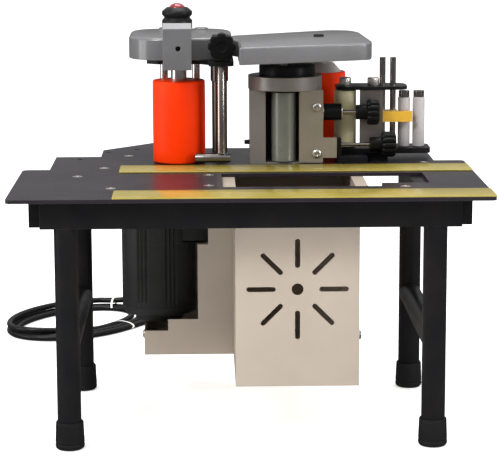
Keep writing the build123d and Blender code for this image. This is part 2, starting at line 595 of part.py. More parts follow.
def build_button(housing_plan):
    """Switch box on the housing's nose, switch, boot and button."""
    deck = HOUSING_Z + HOUSING_H + 11
    front = SWITCH_FRONT
    x0 = BUTTON_X - SWITCH_W / 2
    roof = HOUSING_Z + HOUSING_H
    nose = HOUSING_Y + 5
    tail = HOUSING_Y + 27
    side = [(front, TABLE_TOP + 109), (nose, TABLE_TOP + 109), (nose, roof), (tail, roof), (tail, deck),
            (front + 12, deck), (front + 12, deck + 7), (front + 6, deck + 7), (front, deck + 1)]
    face = make_face(Polyline(*[(0, y, z) for y, z in side], close=True))
    box = extrude(face, SWITCH_W, dir=(1, 0, 0)).moved(Location((x0, 0, 0))) - housing_plan
    boot_y = front + 12 + BOOT_R + 1
    box -= rod(BUTTON_X, boot_y, HOUSING_Z + HOUSING_H + 3, deck + 1, 12)
    box -= rod_y(BUTTON_X + 1, front - 1, front + 6, TABLE_TOP + 133, 3)
    save("switch_box", box)
    switch = rod(BUTTON_X, boot_y, HOUSING_Z + HOUSING_H + 3, deck, 12)
    switch += rod(BUTTON_X, boot_y, deck - 1, deck + 6, 8)
    switch -= rod(BUTTON_X, boot_y, HOUSING_Z + HOUSING_H + 5, deck + 7, 4.4)
    save("switch_body", switch)
    profile = [(BUTTON_R + 0.7, 0), (BOOT_R, 0), (BOOT_R, 9), (BOOT_R - 2.7, 12), (BOOT_R, 15),
               (BOOT_R, BOOT_H - 4.5), (BUTTON_R + 2.5, BOOT_H), (BUTTON_R + 0.7, BOOT_H)]
    face = make_face(Polyline(*[(r, 0, z) for r, z in profile], close=True))
    boot = revolve(face, Axis.Z).moved(Location((BUTTON_X, boot_y, deck)))
    save("button_boot", boot)
    cap = rod(BUTTON_X, boot_y, deck + 6 + BUTTON_TRAVEL + 1, deck + BUTTON_RISE, BUTTON_R)
    cap = fillet(cap.edges().group_by(Axis.Z)[-1], 4)
    cap += rod(BUTTON_X, boot_y, deck - 1, deck + 12, 4)
    save("button_cap", cap)


def pot_plan(inset):
    """D-shaped outline of the glue pot, moved inwards by inset."""
    middle = POT_FRONT + POT_R * 0.7
    half = POT_R - inset
    face_y = POT_FRONT + inset
    plan = block(POT_X - half, POT_X + half, face_y, middle, 0, 1) + rod(POT_X, middle, 0, 1, half)
    plan -= block(POT_X - half, POT_X + half, face_y - POT_R, face_y, -1, 2)
    return plan.faces().sort_by(Axis.Z)[-1]


def build_glue_pot():
    """Pot, lid, plate, heater and glue roller."""
    z = TABLE_TOP
    top = z + POT_H
    middle = POT_FRONT + POT_R * 0.7
    flange_y = POT_FRONT + FLANGE_R - 16
    pot = extrude(pot_plan(0), POT_H).moved(Location((0, 0, z - 1)))
    pot += rod(POT_X, flange_y, top, top + FLANGE_H, FLANGE_R)
    pot -= extrude(pot_plan(POT_WALL), POT_H - 2).moved(Location((0, 0, z + 1)))
    pot -= rod(POT_X, flange_y, top - 1, top + FLANGE_H + 1, LID_R - 4)
    gap = (GLUE_X - GLUE_R - 7, GLUE_X + GLUE_R + 3)
    pot -= block(gap[0], gap[1], POT_FRONT - 1, POT_FRONT + POT_WALL + 1, z + 2, top)
    pot -= rod(GLUE_X, GLUE_Y, z - 1, z + 3, GLUE_SHAFT_R + RUN_CLEAR)
    plate_x = (gap[1], POT_X + POT_R + 1)
    tab = 15.6
    plate_front = POT_FRONT - 3
    plate = block(plate_x[0], plate_x[1], plate_front, POT_FRONT, z + 1.6, top)
    plate += block(plate_x[1], plate_x[1] + tab, plate_front, POT_FRONT, z + 7, z + 30)
    screws = []
    screw_r = SHANK_R - 0.5
    for rise in (12, 65):
        x = plate_x[1] - 7
        pot -= rod_y(x, POT_FRONT - 1, POT_FRONT + POT_WALL - 1, z + rise, screw_r)
        plate -= rod_y(x, plate_front - 1, POT_FRONT + 1, z + rise, screw_r + HOLE_CLEAR)
        head = rod_y(x, plate_front - 3, plate_front, z + rise, PAN_R)
        screws.append(head + rod_y(x, plate_front - 1, POT_FRONT + POT_WALL - 1, z + rise, screw_r))
    collar_x = (POT_X + POT_R, POT_X + POT_R + 22)
    collar = rod_x(collar_x[0], collar_x[1], SCREW_Y, z + PRESSURE_Z, 9.5)
    collar -= rod_x(collar_x[0] + 4, collar_x[1] + 1, SCREW_Y, z + PRESSURE_Z, 2.7 + RUN_CLEAR)
    save("glue_pot", pot)
    save("pot_front_plate", plate)
    save("screw_collar", collar)
    lid = rod(POT_X + 2.5, flange_y, top + FLANGE_H, top + FLANGE_H + LID_H, LID_R)
    lid -= rod(GLUE_X, GLUE_Y, top, top + FLANGE_H + LID_H + 1, GLUE_SHAFT_R + RUN_CLEAR)
    save("pot_lid", lid)
    save("glue_heater", rod(POT_X, middle + 20, z + 2, z + 58, 6))
    roller = rod(GLUE_X, GLUE_Y, z + 3, top - 3, GLUE_R)
    roller += rod(GLUE_X, GLUE_Y, UNDERSIDE - 4, SHAFT_TOP, GLUE_SHAFT_R)
    roller += pulley(GLUE_X, GLUE_Y, PULLEY_B, GLUE_SHAFT_R - 1)
    save("glue_roller", roller)
    return screws


def build_rear_roller():
    """Second orange roller, driven by the belt."""
    shaft_r = SHAFT_D / 2
    bottom = TABLE_TOP + 1
    top = bottom + ROLLER_H
    core = rod(REAR_X, REAR_Y, bottom, top, CORE_D / 2)
    core += Cone(CORE_D / 2 + 3, CORE_D / 2 - 6, 10).moved(Location((REAR_X, REAR_Y, top + 5)))
    core += rod(REAR_X, REAR_Y, UNDERSIDE - 16, SHAFT_TOP, shaft_r)
    core += pulley(REAR_X, REAR_Y, PULLEY_A, shaft_r - 1) + pulley(REAR_X, REAR_Y, PULLEY_B, shaft_r - 1)
    save("rear_roller_core", core)
    sleeve = rod(REAR_X, REAR_Y, bottom, top, ROLLER_D / 2) - rod(REAR_X, REAR_Y, bottom, top, CORE_D / 2)
    save("rear_roller_sleeve", sleeve)


def adjusting_screw(x_rod, x_hub, x_head, x_end, z, rod_r):
    """Screw along X with a hub and a lobed head."""
    screw = rod_x(x_rod, x_hub + 1, SCREW_Y, z, rod_r)
    screw += rod_x(x_hub, x_head + 1, SCREW_Y, z, 8.4)
    head = lobed_disc(ADJUST_R, KNOB_LOBES, x_end - x_head)
    return screw + head.moved(Location((x_head, SCREW_Y, z), (0, 90, 0)))


def build_tape_feed():
    """Tape guide between two plates, with its rollers, rods and screws."""
    z = TABLE_TOP
    base_top = z + TAPE_BASE_Z + TAPE_BASE_T
    x0, x1 = TAPE_BASE_X
    y1 = TAPE_Y + TAPE_BASE_D
    base = block(x0, x1, TAPE_Y, y1, z + TAPE_BASE_Z, base_top)
    base = fillet(base.edges().filter_by(Axis.Z).group_by(Axis.X)[-1], 8)
    base += block(x0 + 2, x0 + 60, TAPE_Y + 6, y1 - 4, z, z + TAPE_BASE_Z)
    base += block(x0, x0 + 34, SCREW_Y - 8, TAPE_Y, z, z + TAPE_BASE_Z)
    base += block(x0, x0 + 4, SCREW_Y - 8, SCREW_Y + 8, z, z + HEIGHT_Z + 7)
    base -= rod_x(x0 - 1, x0 + 5, SCREW_Y, z + HEIGHT_Z, 2 + RUN_CLEAR)
    for x in SLIDE_RODS_X:
        base -= rod(x, GUIDE_Y, z + TAPE_BASE_Z, base_top + 1, SLIDE_ROD_R)
    save("tape_base", base)
    top_z = z + TAPE_TOP_Z
    top_plate = rounded(x0 + 41, TAPE_Y + 18, 82, TAPE_BASE_D, 14, top_z, top_z + TAPE_TOP_T)
    for x in SLIDE_RODS_X:
        top_plate -= rod(x, GUIDE_Y, top_z - 1, top_z + 9, SLIDE_ROD_R + HOLE_CLEAR)
    nut_top = top_z + TAPE_TOP_T
    nuts = []
    for x, y in ((PINCH_X, PINCH_Y), (x0 + 43, TAPE_Y + 10)):
        nuts.append(rod(x, y, nut_top, nut_top + 9.5, 6.8))
    pin = rod(PINCH_X, PINCH_Y, base_top, top_z, 4)
    save("tape_top_plate", top_plate, *nuts)
    pinch = rod(PINCH_X, PINCH_Y, base_top + 1, top_z - 1, PINCH_R)
    pinch -= rod(PINCH_X, PINCH_Y, base_top, top_z, 4 + RUN_CLEAR)
    save("pinch_roller", pinch)
    guide = block(x0 + 27, x0 + 53, TAPE_Y, TAPE_Y + 4, base_top, top_z)
    save("guide_plate", guide)
    rods = []
    for x in SLIDE_RODS_X:
        rods.append(rod(x, GUIDE_Y, z + TAPE_BASE_Z, z + 117, SLIDE_ROD_R))
    pins = [pin]
    for n, x in enumerate(GUIDE_X):
        side = ("left", "right")[n]
        pins.append(rod(x, GUIDE_Y, base_top, base_top + 64, GUIDE_PIN_R) +
                    rod(x, GUIDE_Y, base_top + 58, base_top + 65, GUIDE_R - 0.8))
        roller = rod(x, GUIDE_Y, base_top + 0.5, base_top + 57.5, GUIDE_R)
        roller -= rod(x, GUIDE_Y, base_top, base_top + 58, GUIDE_PIN_R + RUN_CLEAR)
        save(f"{side}_guide_roller", roller)
    save("tape_rods", *rods, *pins)
    clamp = block(SLIDE_RODS_X[0] - 1, GUIDE_X[0] + 8, TAPE_Y - 0.5, GUIDE_Y - GUIDE_R - 1, z + 44, z + 56)
    clamp += block(SLIDE_RODS_X[0] - 6, GUIDE_X[0] - GUIDE_R - 1, GUIDE_Y - GUIDE_R - 1.5, GUIDE_Y + 6,
                   z + 44, z + 56)
    for x in SLIDE_RODS_X:
        clamp -= rod(x, GUIDE_Y, z + 40, z + 60, SLIDE_ROD_R + RUN_CLEAR)
    save("yellow_clamp", clamp)
    save("pressure_screw", adjusting_screw(POT_X + POT_R + 6, 125, 137, 152, z + PRESSURE_Z, 2.7))
    save("height_screw", adjusting_screw(x0 - 3, 141, 154, 171, z + HEIGHT_Z, 2))


def build_lead():
    """Strain relief, free lead, coil and plug."""
    gx, gz = GLAND_AT
    back = SIDE_BOX_Y[1]
    cord_r = CORD_D / 2
    gland = Cone(cord_r + 4.5, cord_r + 1.5, GLAND_L, rotation=(-90, 0, 0))
    gland = gland.moved(Location((gx, back + GLAND_L / 2, gz)))
    gland += rod_y(gx, back - SHEET - 3, back + 1, gz, cord_r + 3)
    gland -= rod_y(gx, back - 9, back + GLAND_L + 1, gz, cord_r)
    save("strain_relief", gland)
    floor = cord_r + 0.3
    route = [(gx, back - 2, gz), (gx, back + 46, gz), (gx + 3, back + 92, gz - 22),
             (gx + 8, back + 132, gz - 58), (gx + 13, back + 172, floor + 6), (gx + 18, back + 216, floor),
             (gx + 23, back + 260, floor), (gx + 5, back + 286, floor), (gx - 25, back + 296, floor),
             (gx - 52, back + 289.5, floor)]
    radii = []
    for before, corner, after in zip(route, route[1:], route[2:]):
        one = Vector(*corner) - Vector(*before)
        two = Vector(*after) - Vector(*corner)
        shorter = min(one.length, two.length)
        radii.append(0.45 * shorter / tan(radians(one.get_angle(two)) / 2))
    path = FilletPolyline(*route, radius=radii)
    start = Plane(origin=route[0], z_dir=Vector(*route[1]) - Vector(*route[0]))
    lead = sweep(start * Circle(cord_r), path=path)
    save("cord_lead", lead)
    solid_share = lead.volume / (pi * cord_r ** 2 * path.length)
    print("lead radii", [round(r, 1) for r in radii])
    print("lead volume ratio", round(solid_share, 4), "length", path.length)
    outer = Ellipse(COIL_SEMI[0], COIL_SEMI[1])
    hole = Ellipse(COIL_SEMI[0] - COIL_BAND, COIL_SEMI[1] - COIL_BAND)
    coil = extrude(outer - hole, COIL_H)
    coil = coil.moved(Location((COIL_CENTRE[0], COIL_CENTRE[1], 0.3), (0, 0, COIL_TURN)))
    save("cord_coil", coil)
    plug = Cone(14, 9, 34, rotation=(0, 90, 0)).moved(Location((0, 0, 14.3)))
    plug += rod_x(-20, -16, 0, 14.3, 16)
    for y in (-6.5, 6.5):
        plug += rod_x(-38, -19, y, 14.3, 2.4)
    far = cos(radians(COIL_TURN)) * COIL_SEMI[0]
    place = (COIL_CENTRE[0] + far + 15.5, COIL_CENTRE[1] + 98, 1.9)
    save("mains_plug", plug.moved(Location(place, (0, 0, 196))))


def main():
    os.makedirs("parts", exist_ok=True)
    build_stand()
    screws = build_table()
    screws += build_enclosures()
    build_feed(build_motor())
    housing_plan, cover_screw = build_head()
    build_hold_down()
    build_button(housing_plan)
    screws += build_glue_pot()
    save("machine_screws", *screws, cover_screw)
    build_rear_roller()
    build_tape_feed()
    build_lead()
    print(len(written), "nodes")


main()
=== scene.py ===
"""Bench-top edge banding machine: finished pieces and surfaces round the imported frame."""

import logging
from dataclasses import dataclass, field
from enum import Enum
from math import cos, pi, radians, sin

import bmesh
import bpy
import numpy as np
from mathutils import Matrix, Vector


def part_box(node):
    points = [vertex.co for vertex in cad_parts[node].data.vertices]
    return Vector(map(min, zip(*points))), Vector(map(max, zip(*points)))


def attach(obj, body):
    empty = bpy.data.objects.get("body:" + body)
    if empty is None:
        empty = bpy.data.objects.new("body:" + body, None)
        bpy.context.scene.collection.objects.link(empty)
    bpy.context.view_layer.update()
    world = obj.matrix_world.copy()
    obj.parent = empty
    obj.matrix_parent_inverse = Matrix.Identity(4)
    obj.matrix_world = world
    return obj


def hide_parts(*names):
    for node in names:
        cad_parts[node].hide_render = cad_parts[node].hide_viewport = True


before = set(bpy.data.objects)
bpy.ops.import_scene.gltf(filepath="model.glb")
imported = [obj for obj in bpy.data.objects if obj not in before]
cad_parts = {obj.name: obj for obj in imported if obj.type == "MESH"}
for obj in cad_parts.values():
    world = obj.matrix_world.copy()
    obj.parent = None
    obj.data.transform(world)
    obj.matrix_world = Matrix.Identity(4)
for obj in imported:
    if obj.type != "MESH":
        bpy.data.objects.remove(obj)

LOG = logging.getLogger("edge_bander")
MM = 0.001
CORD_D = 8.0
FRONT = 215.0  # the table's front edge lies this far ahead of the origin


class Along(Enum):
    """Direction that a turned or moulded piece is built along."""

    X = (1, 2, 0)
    Y = (2, 0, 1)
    Z = (0, 1, 2)


class Grain(Enum):
    """How a surface was made, as the stretch of its fine pattern along X, Y and Z."""

    PEEL = (1.0, 1.0, 1.0)
    RINGS_Z = (0.02, 0.02, 1.0)
    RINGS_X = (1.0, 0.02, 0.02)
    BRUSHED_X = (0.02, 1.0, 1.0)
    BRUSHED_Z = (1.0, 1.0, 0.03)


def linear(code: str) -> tuple[float, float, float, float]:
    """Turn an sRGB hex colour into linear values.

    Args:
        code: Colour such as "#a0b0c0".

    Returns:
        Linear red, green, blue and a full alpha.
    """
    part = np.array([int(code[n:n + 2], 16) for n in (1, 3, 5)]) / 255.0
    flat = np.where(part <= 0.04045, part / 12.92, ((part + 0.055) / 1.055) ** 2.4)
    return (float(flat[0]), float(flat[1]), float(flat[2]), 1.0)


def put(tree: bpy.types.NodeTree, kind: str, links: dict | None = None, values: dict | None = None,
        **settings: object) -> bpy.types.Node:
    """Add a node with its settings, socket values and incoming links.

    Args:
        tree: Node tree to add to.
        kind: Blender's type name of the node.
        links: Input name or index to the output socket that feeds it.
        values: Input name or index to a plain value.
        **settings: Properties of the node itself.

    Returns:
        The new node.
    """
    node = tree.nodes.new(kind)
    for key, value in settings.items():
        setattr(node, key, value)
    for key, value in (values or {}).items():
        node.inputs[key].default_value = value
    for key, source in (links or {}).items():
        tree.links.new(source, node.inputs[key])
    return node


@dataclass(frozen=True)
class Finish:
    """One real material and how its surface was made.

    Attributes:
        name: The material's common name.
        slot: The record's material slot that it belongs to.
        colour: Main colour.
        drift: Colour that slow blotches drift towards.
        roughness: Lowest and highest roughness.
        metallic: 1 for bare metal.
        grain: Direction of the fine pattern.
        grain_mm: Size of the fine pattern.
        depth_mm: Height of the fine pattern.
        blotch_mm: Size of the slow colour drift.
        edge_mm: Radius that a hand feels on the edges, shaded but not cut.
        wear: Colour that rubbed edges show, if they are rubbed.
        coat: Strength of a clear glossy top layer.
        subsurface: Share of light that soaks in.
        ior: Index of refraction of a non-metal.
        glow: Light given off, for the studio floor.
    """

    name: str
    slot: str
    colour: str
    drift: str
    roughness: tuple[float, float]
    metallic: float = 0.0
    grain: Grain = Grain.PEEL
    grain_mm: float = 1.2
    depth_mm: float = 0.02
    blotch_mm: float = 60.0
    edge_mm: float = 0.5
    wear: str | None = None
    coat: float = 0.0
    subsurface: float = 0.0
    ior: float = 1.5
    glow: float = 0.0

    def make(self) -> bpy.types.Material:
        """Build the material, or return the one already built.

        Returns:
            The finished material.
        """
        made = bpy.data.materials.get(self.name)
        if made is not None:
            return made
        made = bpy.data.materials.new(self.name)
        made.use_nodes = True
        made.diffuse_color = linear(self.colour)
        tree = made.node_tree
        tree.nodes.clear()
        where = put(tree, "ShaderNodeTexCoord").outputs["Object"]
        blotch = put(tree, "ShaderNodeTexNoise", {"Vector": where},
                     {"Scale": 1000.0 / self.blotch_mm, "Detail": 4.0, "Roughness": 0.6})
        stretch = put(tree, "ShaderNodeMapping", {"Vector": where}, {"Scale": self.grain.value})
        fine = put(tree, "ShaderNodeTexNoise", {"Vector": stretch.outputs[0]},
                   {"Scale": 1000.0 / self.grain_mm, "Detail": 3.0, "Roughness": 0.55})
        share = put(tree, "ShaderNodeMapRange", {"Value": blotch.outputs["Fac"]},
                    {"From Min": 0.35, "From Max": 0.68})
        tone = put(tree, "ShaderNodeMix", {0: share.outputs[0]},
                   {6: linear(self.colour), 7: linear(self.drift)}, data_type="RGBA")
        both = put(tree, "ShaderNodeMath", {0: blotch.outputs["Fac"], 1: fine.outputs["Fac"]},
                   operation="ADD")
        rough = put(tree, "ShaderNodeMapRange", {"Value": both.outputs[0]},
                    {"From Min": 0.7, "From Max": 1.3, "To Min": self.roughness[0],
                     "To Max": self.roughness[1]})
        soft = put(tree, "ShaderNodeBevel", None, {"Radius": self.edge_mm * MM}, samples=4)
        bump = put(tree, "ShaderNodeBump", {"Height": fine.outputs["Fac"], "Normal": soft.outputs[0]},
                   {"Strength": 1.0, "Distance": self.depth_mm * MM})
        colour = tone.outputs[2]
        if self.wear is not None:
            flat = put(tree, "ShaderNodeNewGeometry")
            turn = put(tree, "ShaderNodeVectorMath",
                       {0: soft.outputs[0], 1: flat.outputs["Normal"]}, operation="DOT_PRODUCT")
            edge = put(tree, "ShaderNodeMapRange", {"Value": turn.outputs["Value"]},
                       {"From Min": 0.97, "From Max": 0.80})
            patch = put(tree, "ShaderNodeMath", {0: edge.outputs[0], 1: share.outputs[0]},
                        operation="MULTIPLY")
            rubbed = put(tree, "ShaderNodeMix", {0: patch.outputs[0], 6: colour},
                         {7: linear(self.wear)}, data_type="RGBA")
            colour = rubbed.outputs[2]
        values = {"Metallic": self.metallic, "Coat Weight": self.coat, "Coat Roughness": 0.08,
                  "Subsurface Weight": self.subsurface, "Subsurface Scale": 0.002,
                  "Emission Color": (1.0, 1.0, 1.0, 1.0), "Emission Strength": self.glow}
        if self.metallic < 1.0:
            values["IOR"] = self.ior
        shader = put(tree, "ShaderNodeBsdfPrincipled",
                     {"Base Color": colour, "Roughness": rough.outputs[0],
                      "Normal": bump.outputs[0]}, values)
        put(tree, "ShaderNodeOutputMaterial", {"Surface": shader.outputs[0]})
        return made


BLACK_IOR = 1.22  # satin blacks throw back little light

# Powder coat: fine orange peel that breaks up the sheen.
TABLE_COAT = Finish("charcoal_powder_coat", "table_charcoal", "#282329", "#221e23", (0.27, 0.38),
                    grain_mm=1.6, depth_mm=0.005, blotch_mm=90, edge_mm=0.8, wear="#55545c", ior=1.3)
FRAME_COAT = Finish("black_powder_coat", "frame_black", "#141416", "#1a1819", (0.28, 0.42),
                    grain_mm=1.4, depth_mm=0.03, blotch_mm=40, edge_mm=1.0, wear="#3a3a3f", ior=BLACK_IOR)
PLATE_COAT = Finish("black_oxide_plate", "black_plate", "#151517", "#1d1d20", (0.3, 0.42),
                    grain_mm=1.0, depth_mm=0.02, edge_mm=0.5, wear="#45454a", ior=BLACK_IOR)
# Stoved paint on folded sheet: smooth, with a faint warm drift.
SHEET_PAINT = Finish("warm_grey_sheet_paint", "enclosure_grey", "#a99d8f", "#a19588", (0.36, 0.5),
                     grain_mm=1.8, depth_mm=0.015, blotch_mm=120, edge_mm=1.2, wear="#c4b9ac", ior=1.35)
# Enamel over a sand casting: slightly lumpy, lifted by a thin gloss.
CAST_ENAMEL = Finish("grey_casting_enamel", "casting_grey", "#656466", "#5d5c5e", (0.3, 0.4),
                     grain_mm=2.4, depth_mm=0.03, blotch_mm=45, edge_mm=1.2, wear="#98969a", coat=0.7)
MOTOR_PAINT = Finish("dark_grey_motor_paint", "motor_case", "#2b2c2b", "#232423", (0.38, 0.52),
                     grain_mm=1.6, depth_mm=0.03, edge_mm=0.8, wear="#4c4e4c", ior=1.3)
CAP_CASTING = Finish("die_cast_end_cap", "motor_cap", "#2f302f", "#272827", (0.36, 0.5),
                     grain_mm=1.5, depth_mm=0.03, edge_mm=0.8, wear="#5c5e5c", ior=1.3)
# Ground and turned steel: rings or fine lines that draw the highlight out.
GROUND_STEEL = Finish("ground_steel_rod", "bright_steel", "#b3aca7", "#9d9691", (0.14, 0.24),
                      metallic=1.0, grain=Grain.BRUSHED_Z, grain_mm=0.8, depth_mm=0.003)
BRIGHT_STEEL = Finish("polished_steel_post", "bright_steel", "#dad5d2", "#c8c2bf", (0.1, 0.18),
                      metallic=0.9, grain=Grain.BRUSHED_Z, grain_mm=0.8, depth_mm=0.002)
# Column steel: its dark brown colour is a painted reflection of the dark surroundings and the orange roller
# beside it, not a real browning of the steel.
COLUMN_STEEL = Finish("dark_reflection_column_steel", "bright_steel", "#5d524d", "#4e4541", (0.16, 0.26),
                      metallic=1.0, grain=Grain.BRUSHED_Z, grain_mm=0.8, depth_mm=0.003)
BAR_STEEL = Finish("turned_steel_bar", "bright_steel", "#8f8a88", "#7c7775", (0.24, 0.36),
                   metallic=1.0, grain=Grain.RINGS_X, grain_mm=0.8, depth_mm=0.008)
GUIDE_STEEL = Finish("brushed_guide_steel", "bright_steel", "#857d7a", "#78706d", (0.34, 0.46),
                     metallic=0.6, grain=Grain.BRUSHED_Z, grain_mm=0.9, depth_mm=0.006)
WHEEL_STEEL = Finish("machined_steel_wheel", "wheel_steel", "#9b9a9c", "#88878a", (0.25, 0.4),
                     metallic=1.0, grain=Grain.RINGS_Z, grain_mm=0.9, depth_mm=0.01)
ZINC_SCREW = Finish("zinc_plated_screw", "bright_steel", "#d2cfca", "#bcb8b2", (0.2, 0.32),
                    metallic=0.9, grain_mm=0.8, depth_mm=0.008, edge_mm=0.3)
SCREW_STEEL = Finish("blackened_screw_steel", "screw_steel", "#2c2c2e", "#222224", (0.3, 0.42),
                     metallic=0.6, grain_mm=0.8, depth_mm=0.01, edge_mm=0.3)
STATOR_STEEL = Finish("laminated_stator_steel", "stator_steel", "#6f6a62", "#5f5a53", (0.4, 0.55),
                      metallic=1.0, grain=Grain.RINGS_Z, grain_mm=0.6, depth_mm=0.03)
ROTOR_STEEL = Finish("laminated_rotor_steel", "rotor_steel", "#8b8987", "#7b7977", (0.3, 0.45),
                     metallic=1.0, grain=Grain.RINGS_Z, grain_mm=0.6, depth_mm=0.03)
CORE_ALLOY = Finish("turned_aluminium_core", "core_aluminium", "#cfc8c2", "#bfb8b2", (0.3, 0.42),
                    metallic=0.35, grain=Grain.RINGS_Z, grain_mm=0.7, depth_mm=0.01)
# Cast silicone: even, saturated, with a soft broad shine.
SILICONE = Finish("orange_cast_silicone", "orange_silicone", "#fa3a01", "#ef3401", (0.34, 0.44),
                  grain_mm=1.6, depth_mm=0.008, blotch_mm=50, subsurface=0.05, ior=1.2)
BRONZE = Finish("sintered_bronze", "bush_bronze", "#9a7445", "#87653b", (0.4, 0.55), metallic=1.0,
                grain_mm=0.5, depth_mm=0.02)
# Polished slide strip: long streaks of rubbing under a hard gloss.
STRIP = Finish("yellow_slide_strip", "strip_amber", "#928338", "#a19248", (0.14, 0.24),
               grain=Grain.BRUSHED_X, grain_mm=1.5, depth_mm=0.003, blotch_mm=70, coat=0.15, ior=1.35)
# Steel browned by heat and wiped glue.
HOT_STEEL = Finish("heat_browned_steel", "pot_steel", "#8c8682", "#7f7975", (0.3, 0.42),
                   metallic=0.45, grain=Grain.BRUSHED_Z, grain_mm=1.4, depth_mm=0.004, blotch_mm=60)
TAB_STEEL = Finish("wiped_front_plate", "pot_steel", "#9b9283", "#8f8676", (0.3, 0.42), metallic=0.4,
                   grain=Grain.BRUSHED_Z, grain_mm=1.4, depth_mm=0.004, blotch_mm=40)
GLUE_STEEL = Finish("glue_filmed_steel", "glue_roller_steel", "#82837a", "#75766d", (0.26, 0.38),
                    metallic=0.4, grain_mm=1.0, depth_mm=0.006, blotch_mm=45)
SHEATH = Finish("heater_sheath_steel", "heater_steel", "#a7a6a8", "#949395", (0.3, 0.42),
                metallic=1.0, grain=Grain.RINGS_Z)
AMBER = Finish("yellow_moulded_clamp", "collar_amber", "#e2b13c", "#d8a734", (0.28, 0.4),
               grain_mm=1.5, depth_mm=0.008, subsurface=0.05, blotch_mm=20, ior=1.4)
KNOB = Finish("black_moulded_knob", "knob_black", "#0c0c0d", "#121213", (0.28, 0.4),
              grain_mm=0.9, depth_mm=0.012, edge_mm=0.6, ior=BLACK_IOR)
PINCH = Finish("cast_polyurethane", "pinch_beige", "#c6be9c", "#b8b08c", (0.3, 0.42),
               grain_mm=1.4, depth_mm=0.008, subsurface=0.08, blotch_mm=25)
NYLON = Finish("white_turned_nylon", "nylon_white", "#b9b4b5", "#aea9aa", (0.3, 0.42),
               grain=Grain.RINGS_Z, grain_mm=0.8, depth_mm=0.005, subsurface=0.05, blotch_mm=20)
BELT = Finish("woven_belt_rubber", "belt_rubber", "#17171a", "#1f1f22", (0.6, 0.8), grain_mm=0.6,
              depth_mm=0.05, ior=BLACK_IOR)
RED_CAP = Finish("red_gloss_plastic", "button_red", "#8f0b11", "#7c080d", (0.1, 0.18),
                 grain_mm=2.0, depth_mm=0.003, coat=0.5, blotch_mm=15)
BOOT = Finish("black_rubber_boot", "boot_rubber", "#111112", "#171718", (0.32, 0.45), grain_mm=0.7,
              depth_mm=0.015, edge_mm=0.6, ior=1.28)
FOOT = Finish("black_foot_rubber", "foot_rubber", "#131314", "#1a1a1b", (0.5, 0.66), grain_mm=0.9,
              depth_mm=0.03, edge_mm=0.8, ior=BLACK_IOR)
SWITCH = Finish("grey_switch_plastic", "switch_plastic", "#3c3c3f", "#333336", (0.4, 0.5))
CORD = Finish("black_cord_pvc", "cord_pvc", "#101011", "#161617", (0.26, 0.38), grain_mm=1.2,
              depth_mm=0.01, blotch_mm=25, ior=1.28)
PLUG = Finish("black_plug_pvc", "plug_pvc", "#131314", "#191a1b", (0.35, 0.5), grain_mm=0.9,
              depth_mm=0.02, ior=1.28)
TIE = Finish("white_cable_tie", "nylon_white", "#efede8", "#e2dfd8", (0.3, 0.42), grain_mm=0.8,
             depth_mm=0.01)
FLOOR = Finish("pale_studio_floor", "nylon_white", "#f6f6f6", "#f3f3f3", (0.8, 0.9), depth_mm=0.0,
               glow=0.55)


@dataclass(frozen=True)
class Span:
    """Lowest and highest corners of a node, in millimetres."""

    low: np.ndarray
    high: np.ndarray

    @classmethod
    def of(cls, node: str) -> "Span":
        """Read a node's corners from the frame."""
        low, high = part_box(node)
        return cls(np.array(low) / MM, np.array(high) / MM)

    @property
    def mid(self) -> np.ndarray:
        """Centre point."""
        return (self.low + self.high) / 2

    @property
    def size(self) -> np.ndarray:
        """Lengths along the three axes."""
        return self.high - self.low


def skin(name: str, rings: np.ndarray, loop: bool = False, smooth: float = 32.0) -> bpy.types.Object:
    """Join rings of points into one closed surface.

    Neighbouring rings are joined by four-sided faces all the way round. An open stack gets a
    face over its first and last ring, and points that coincide at a pole are merged.

    Args:
        name: Name of the object.
        rings: Points in millimetres, shaped (rings, points in a ring, 3).
        loop: True when the last ring joins the first one.
        smooth: Largest angle between faces that is shaded smooth, in degrees.

    Returns:
        The new object, at the origin.
    """
    count, around = rings.shape[:2]
    rows = np.arange(count if loop else count - 1)
    cols = np.arange(around)
    here = rows[:, None] * around
    there = ((rows + 1) % count)[:, None] * around
    nxt = (cols + 1) % around
    quads = np.stack([here + cols, here + nxt, there + nxt, there + cols], axis=-1).reshape(-1, 4)
    faces = quads.tolist()
    if not loop:
        faces.append(cols[::-1].tolist())
        faces.append(((count - 1) * around + cols).tolist())
    mesh = bpy.data.meshes.new(name)
    mesh.from_pydata((rings.reshape(-1, 3) * MM).tolist(), [], faces)
    build = bmesh.new()
    build.from_mesh(mesh)
    bmesh.ops.remove_doubles(build, verts=build.verts, dist=2e-6)
    bmesh.ops.dissolve_degenerate(build, edges=build.edges, dist=1e-7)
    bmesh.ops.recalc_face_normals(build, faces=build.faces)
    build.to_mesh(mesh)
    build.free()
    mesh.polygons.foreach_set("use_smooth", np.ones(len(mesh.polygons), dtype=bool))
    mesh.set_sharp_from_angle(angle=radians(smooth))
    made = bpy.data.objects.new(name, mesh)
    bpy.context.scene.collection.objects.link(made)
    return made


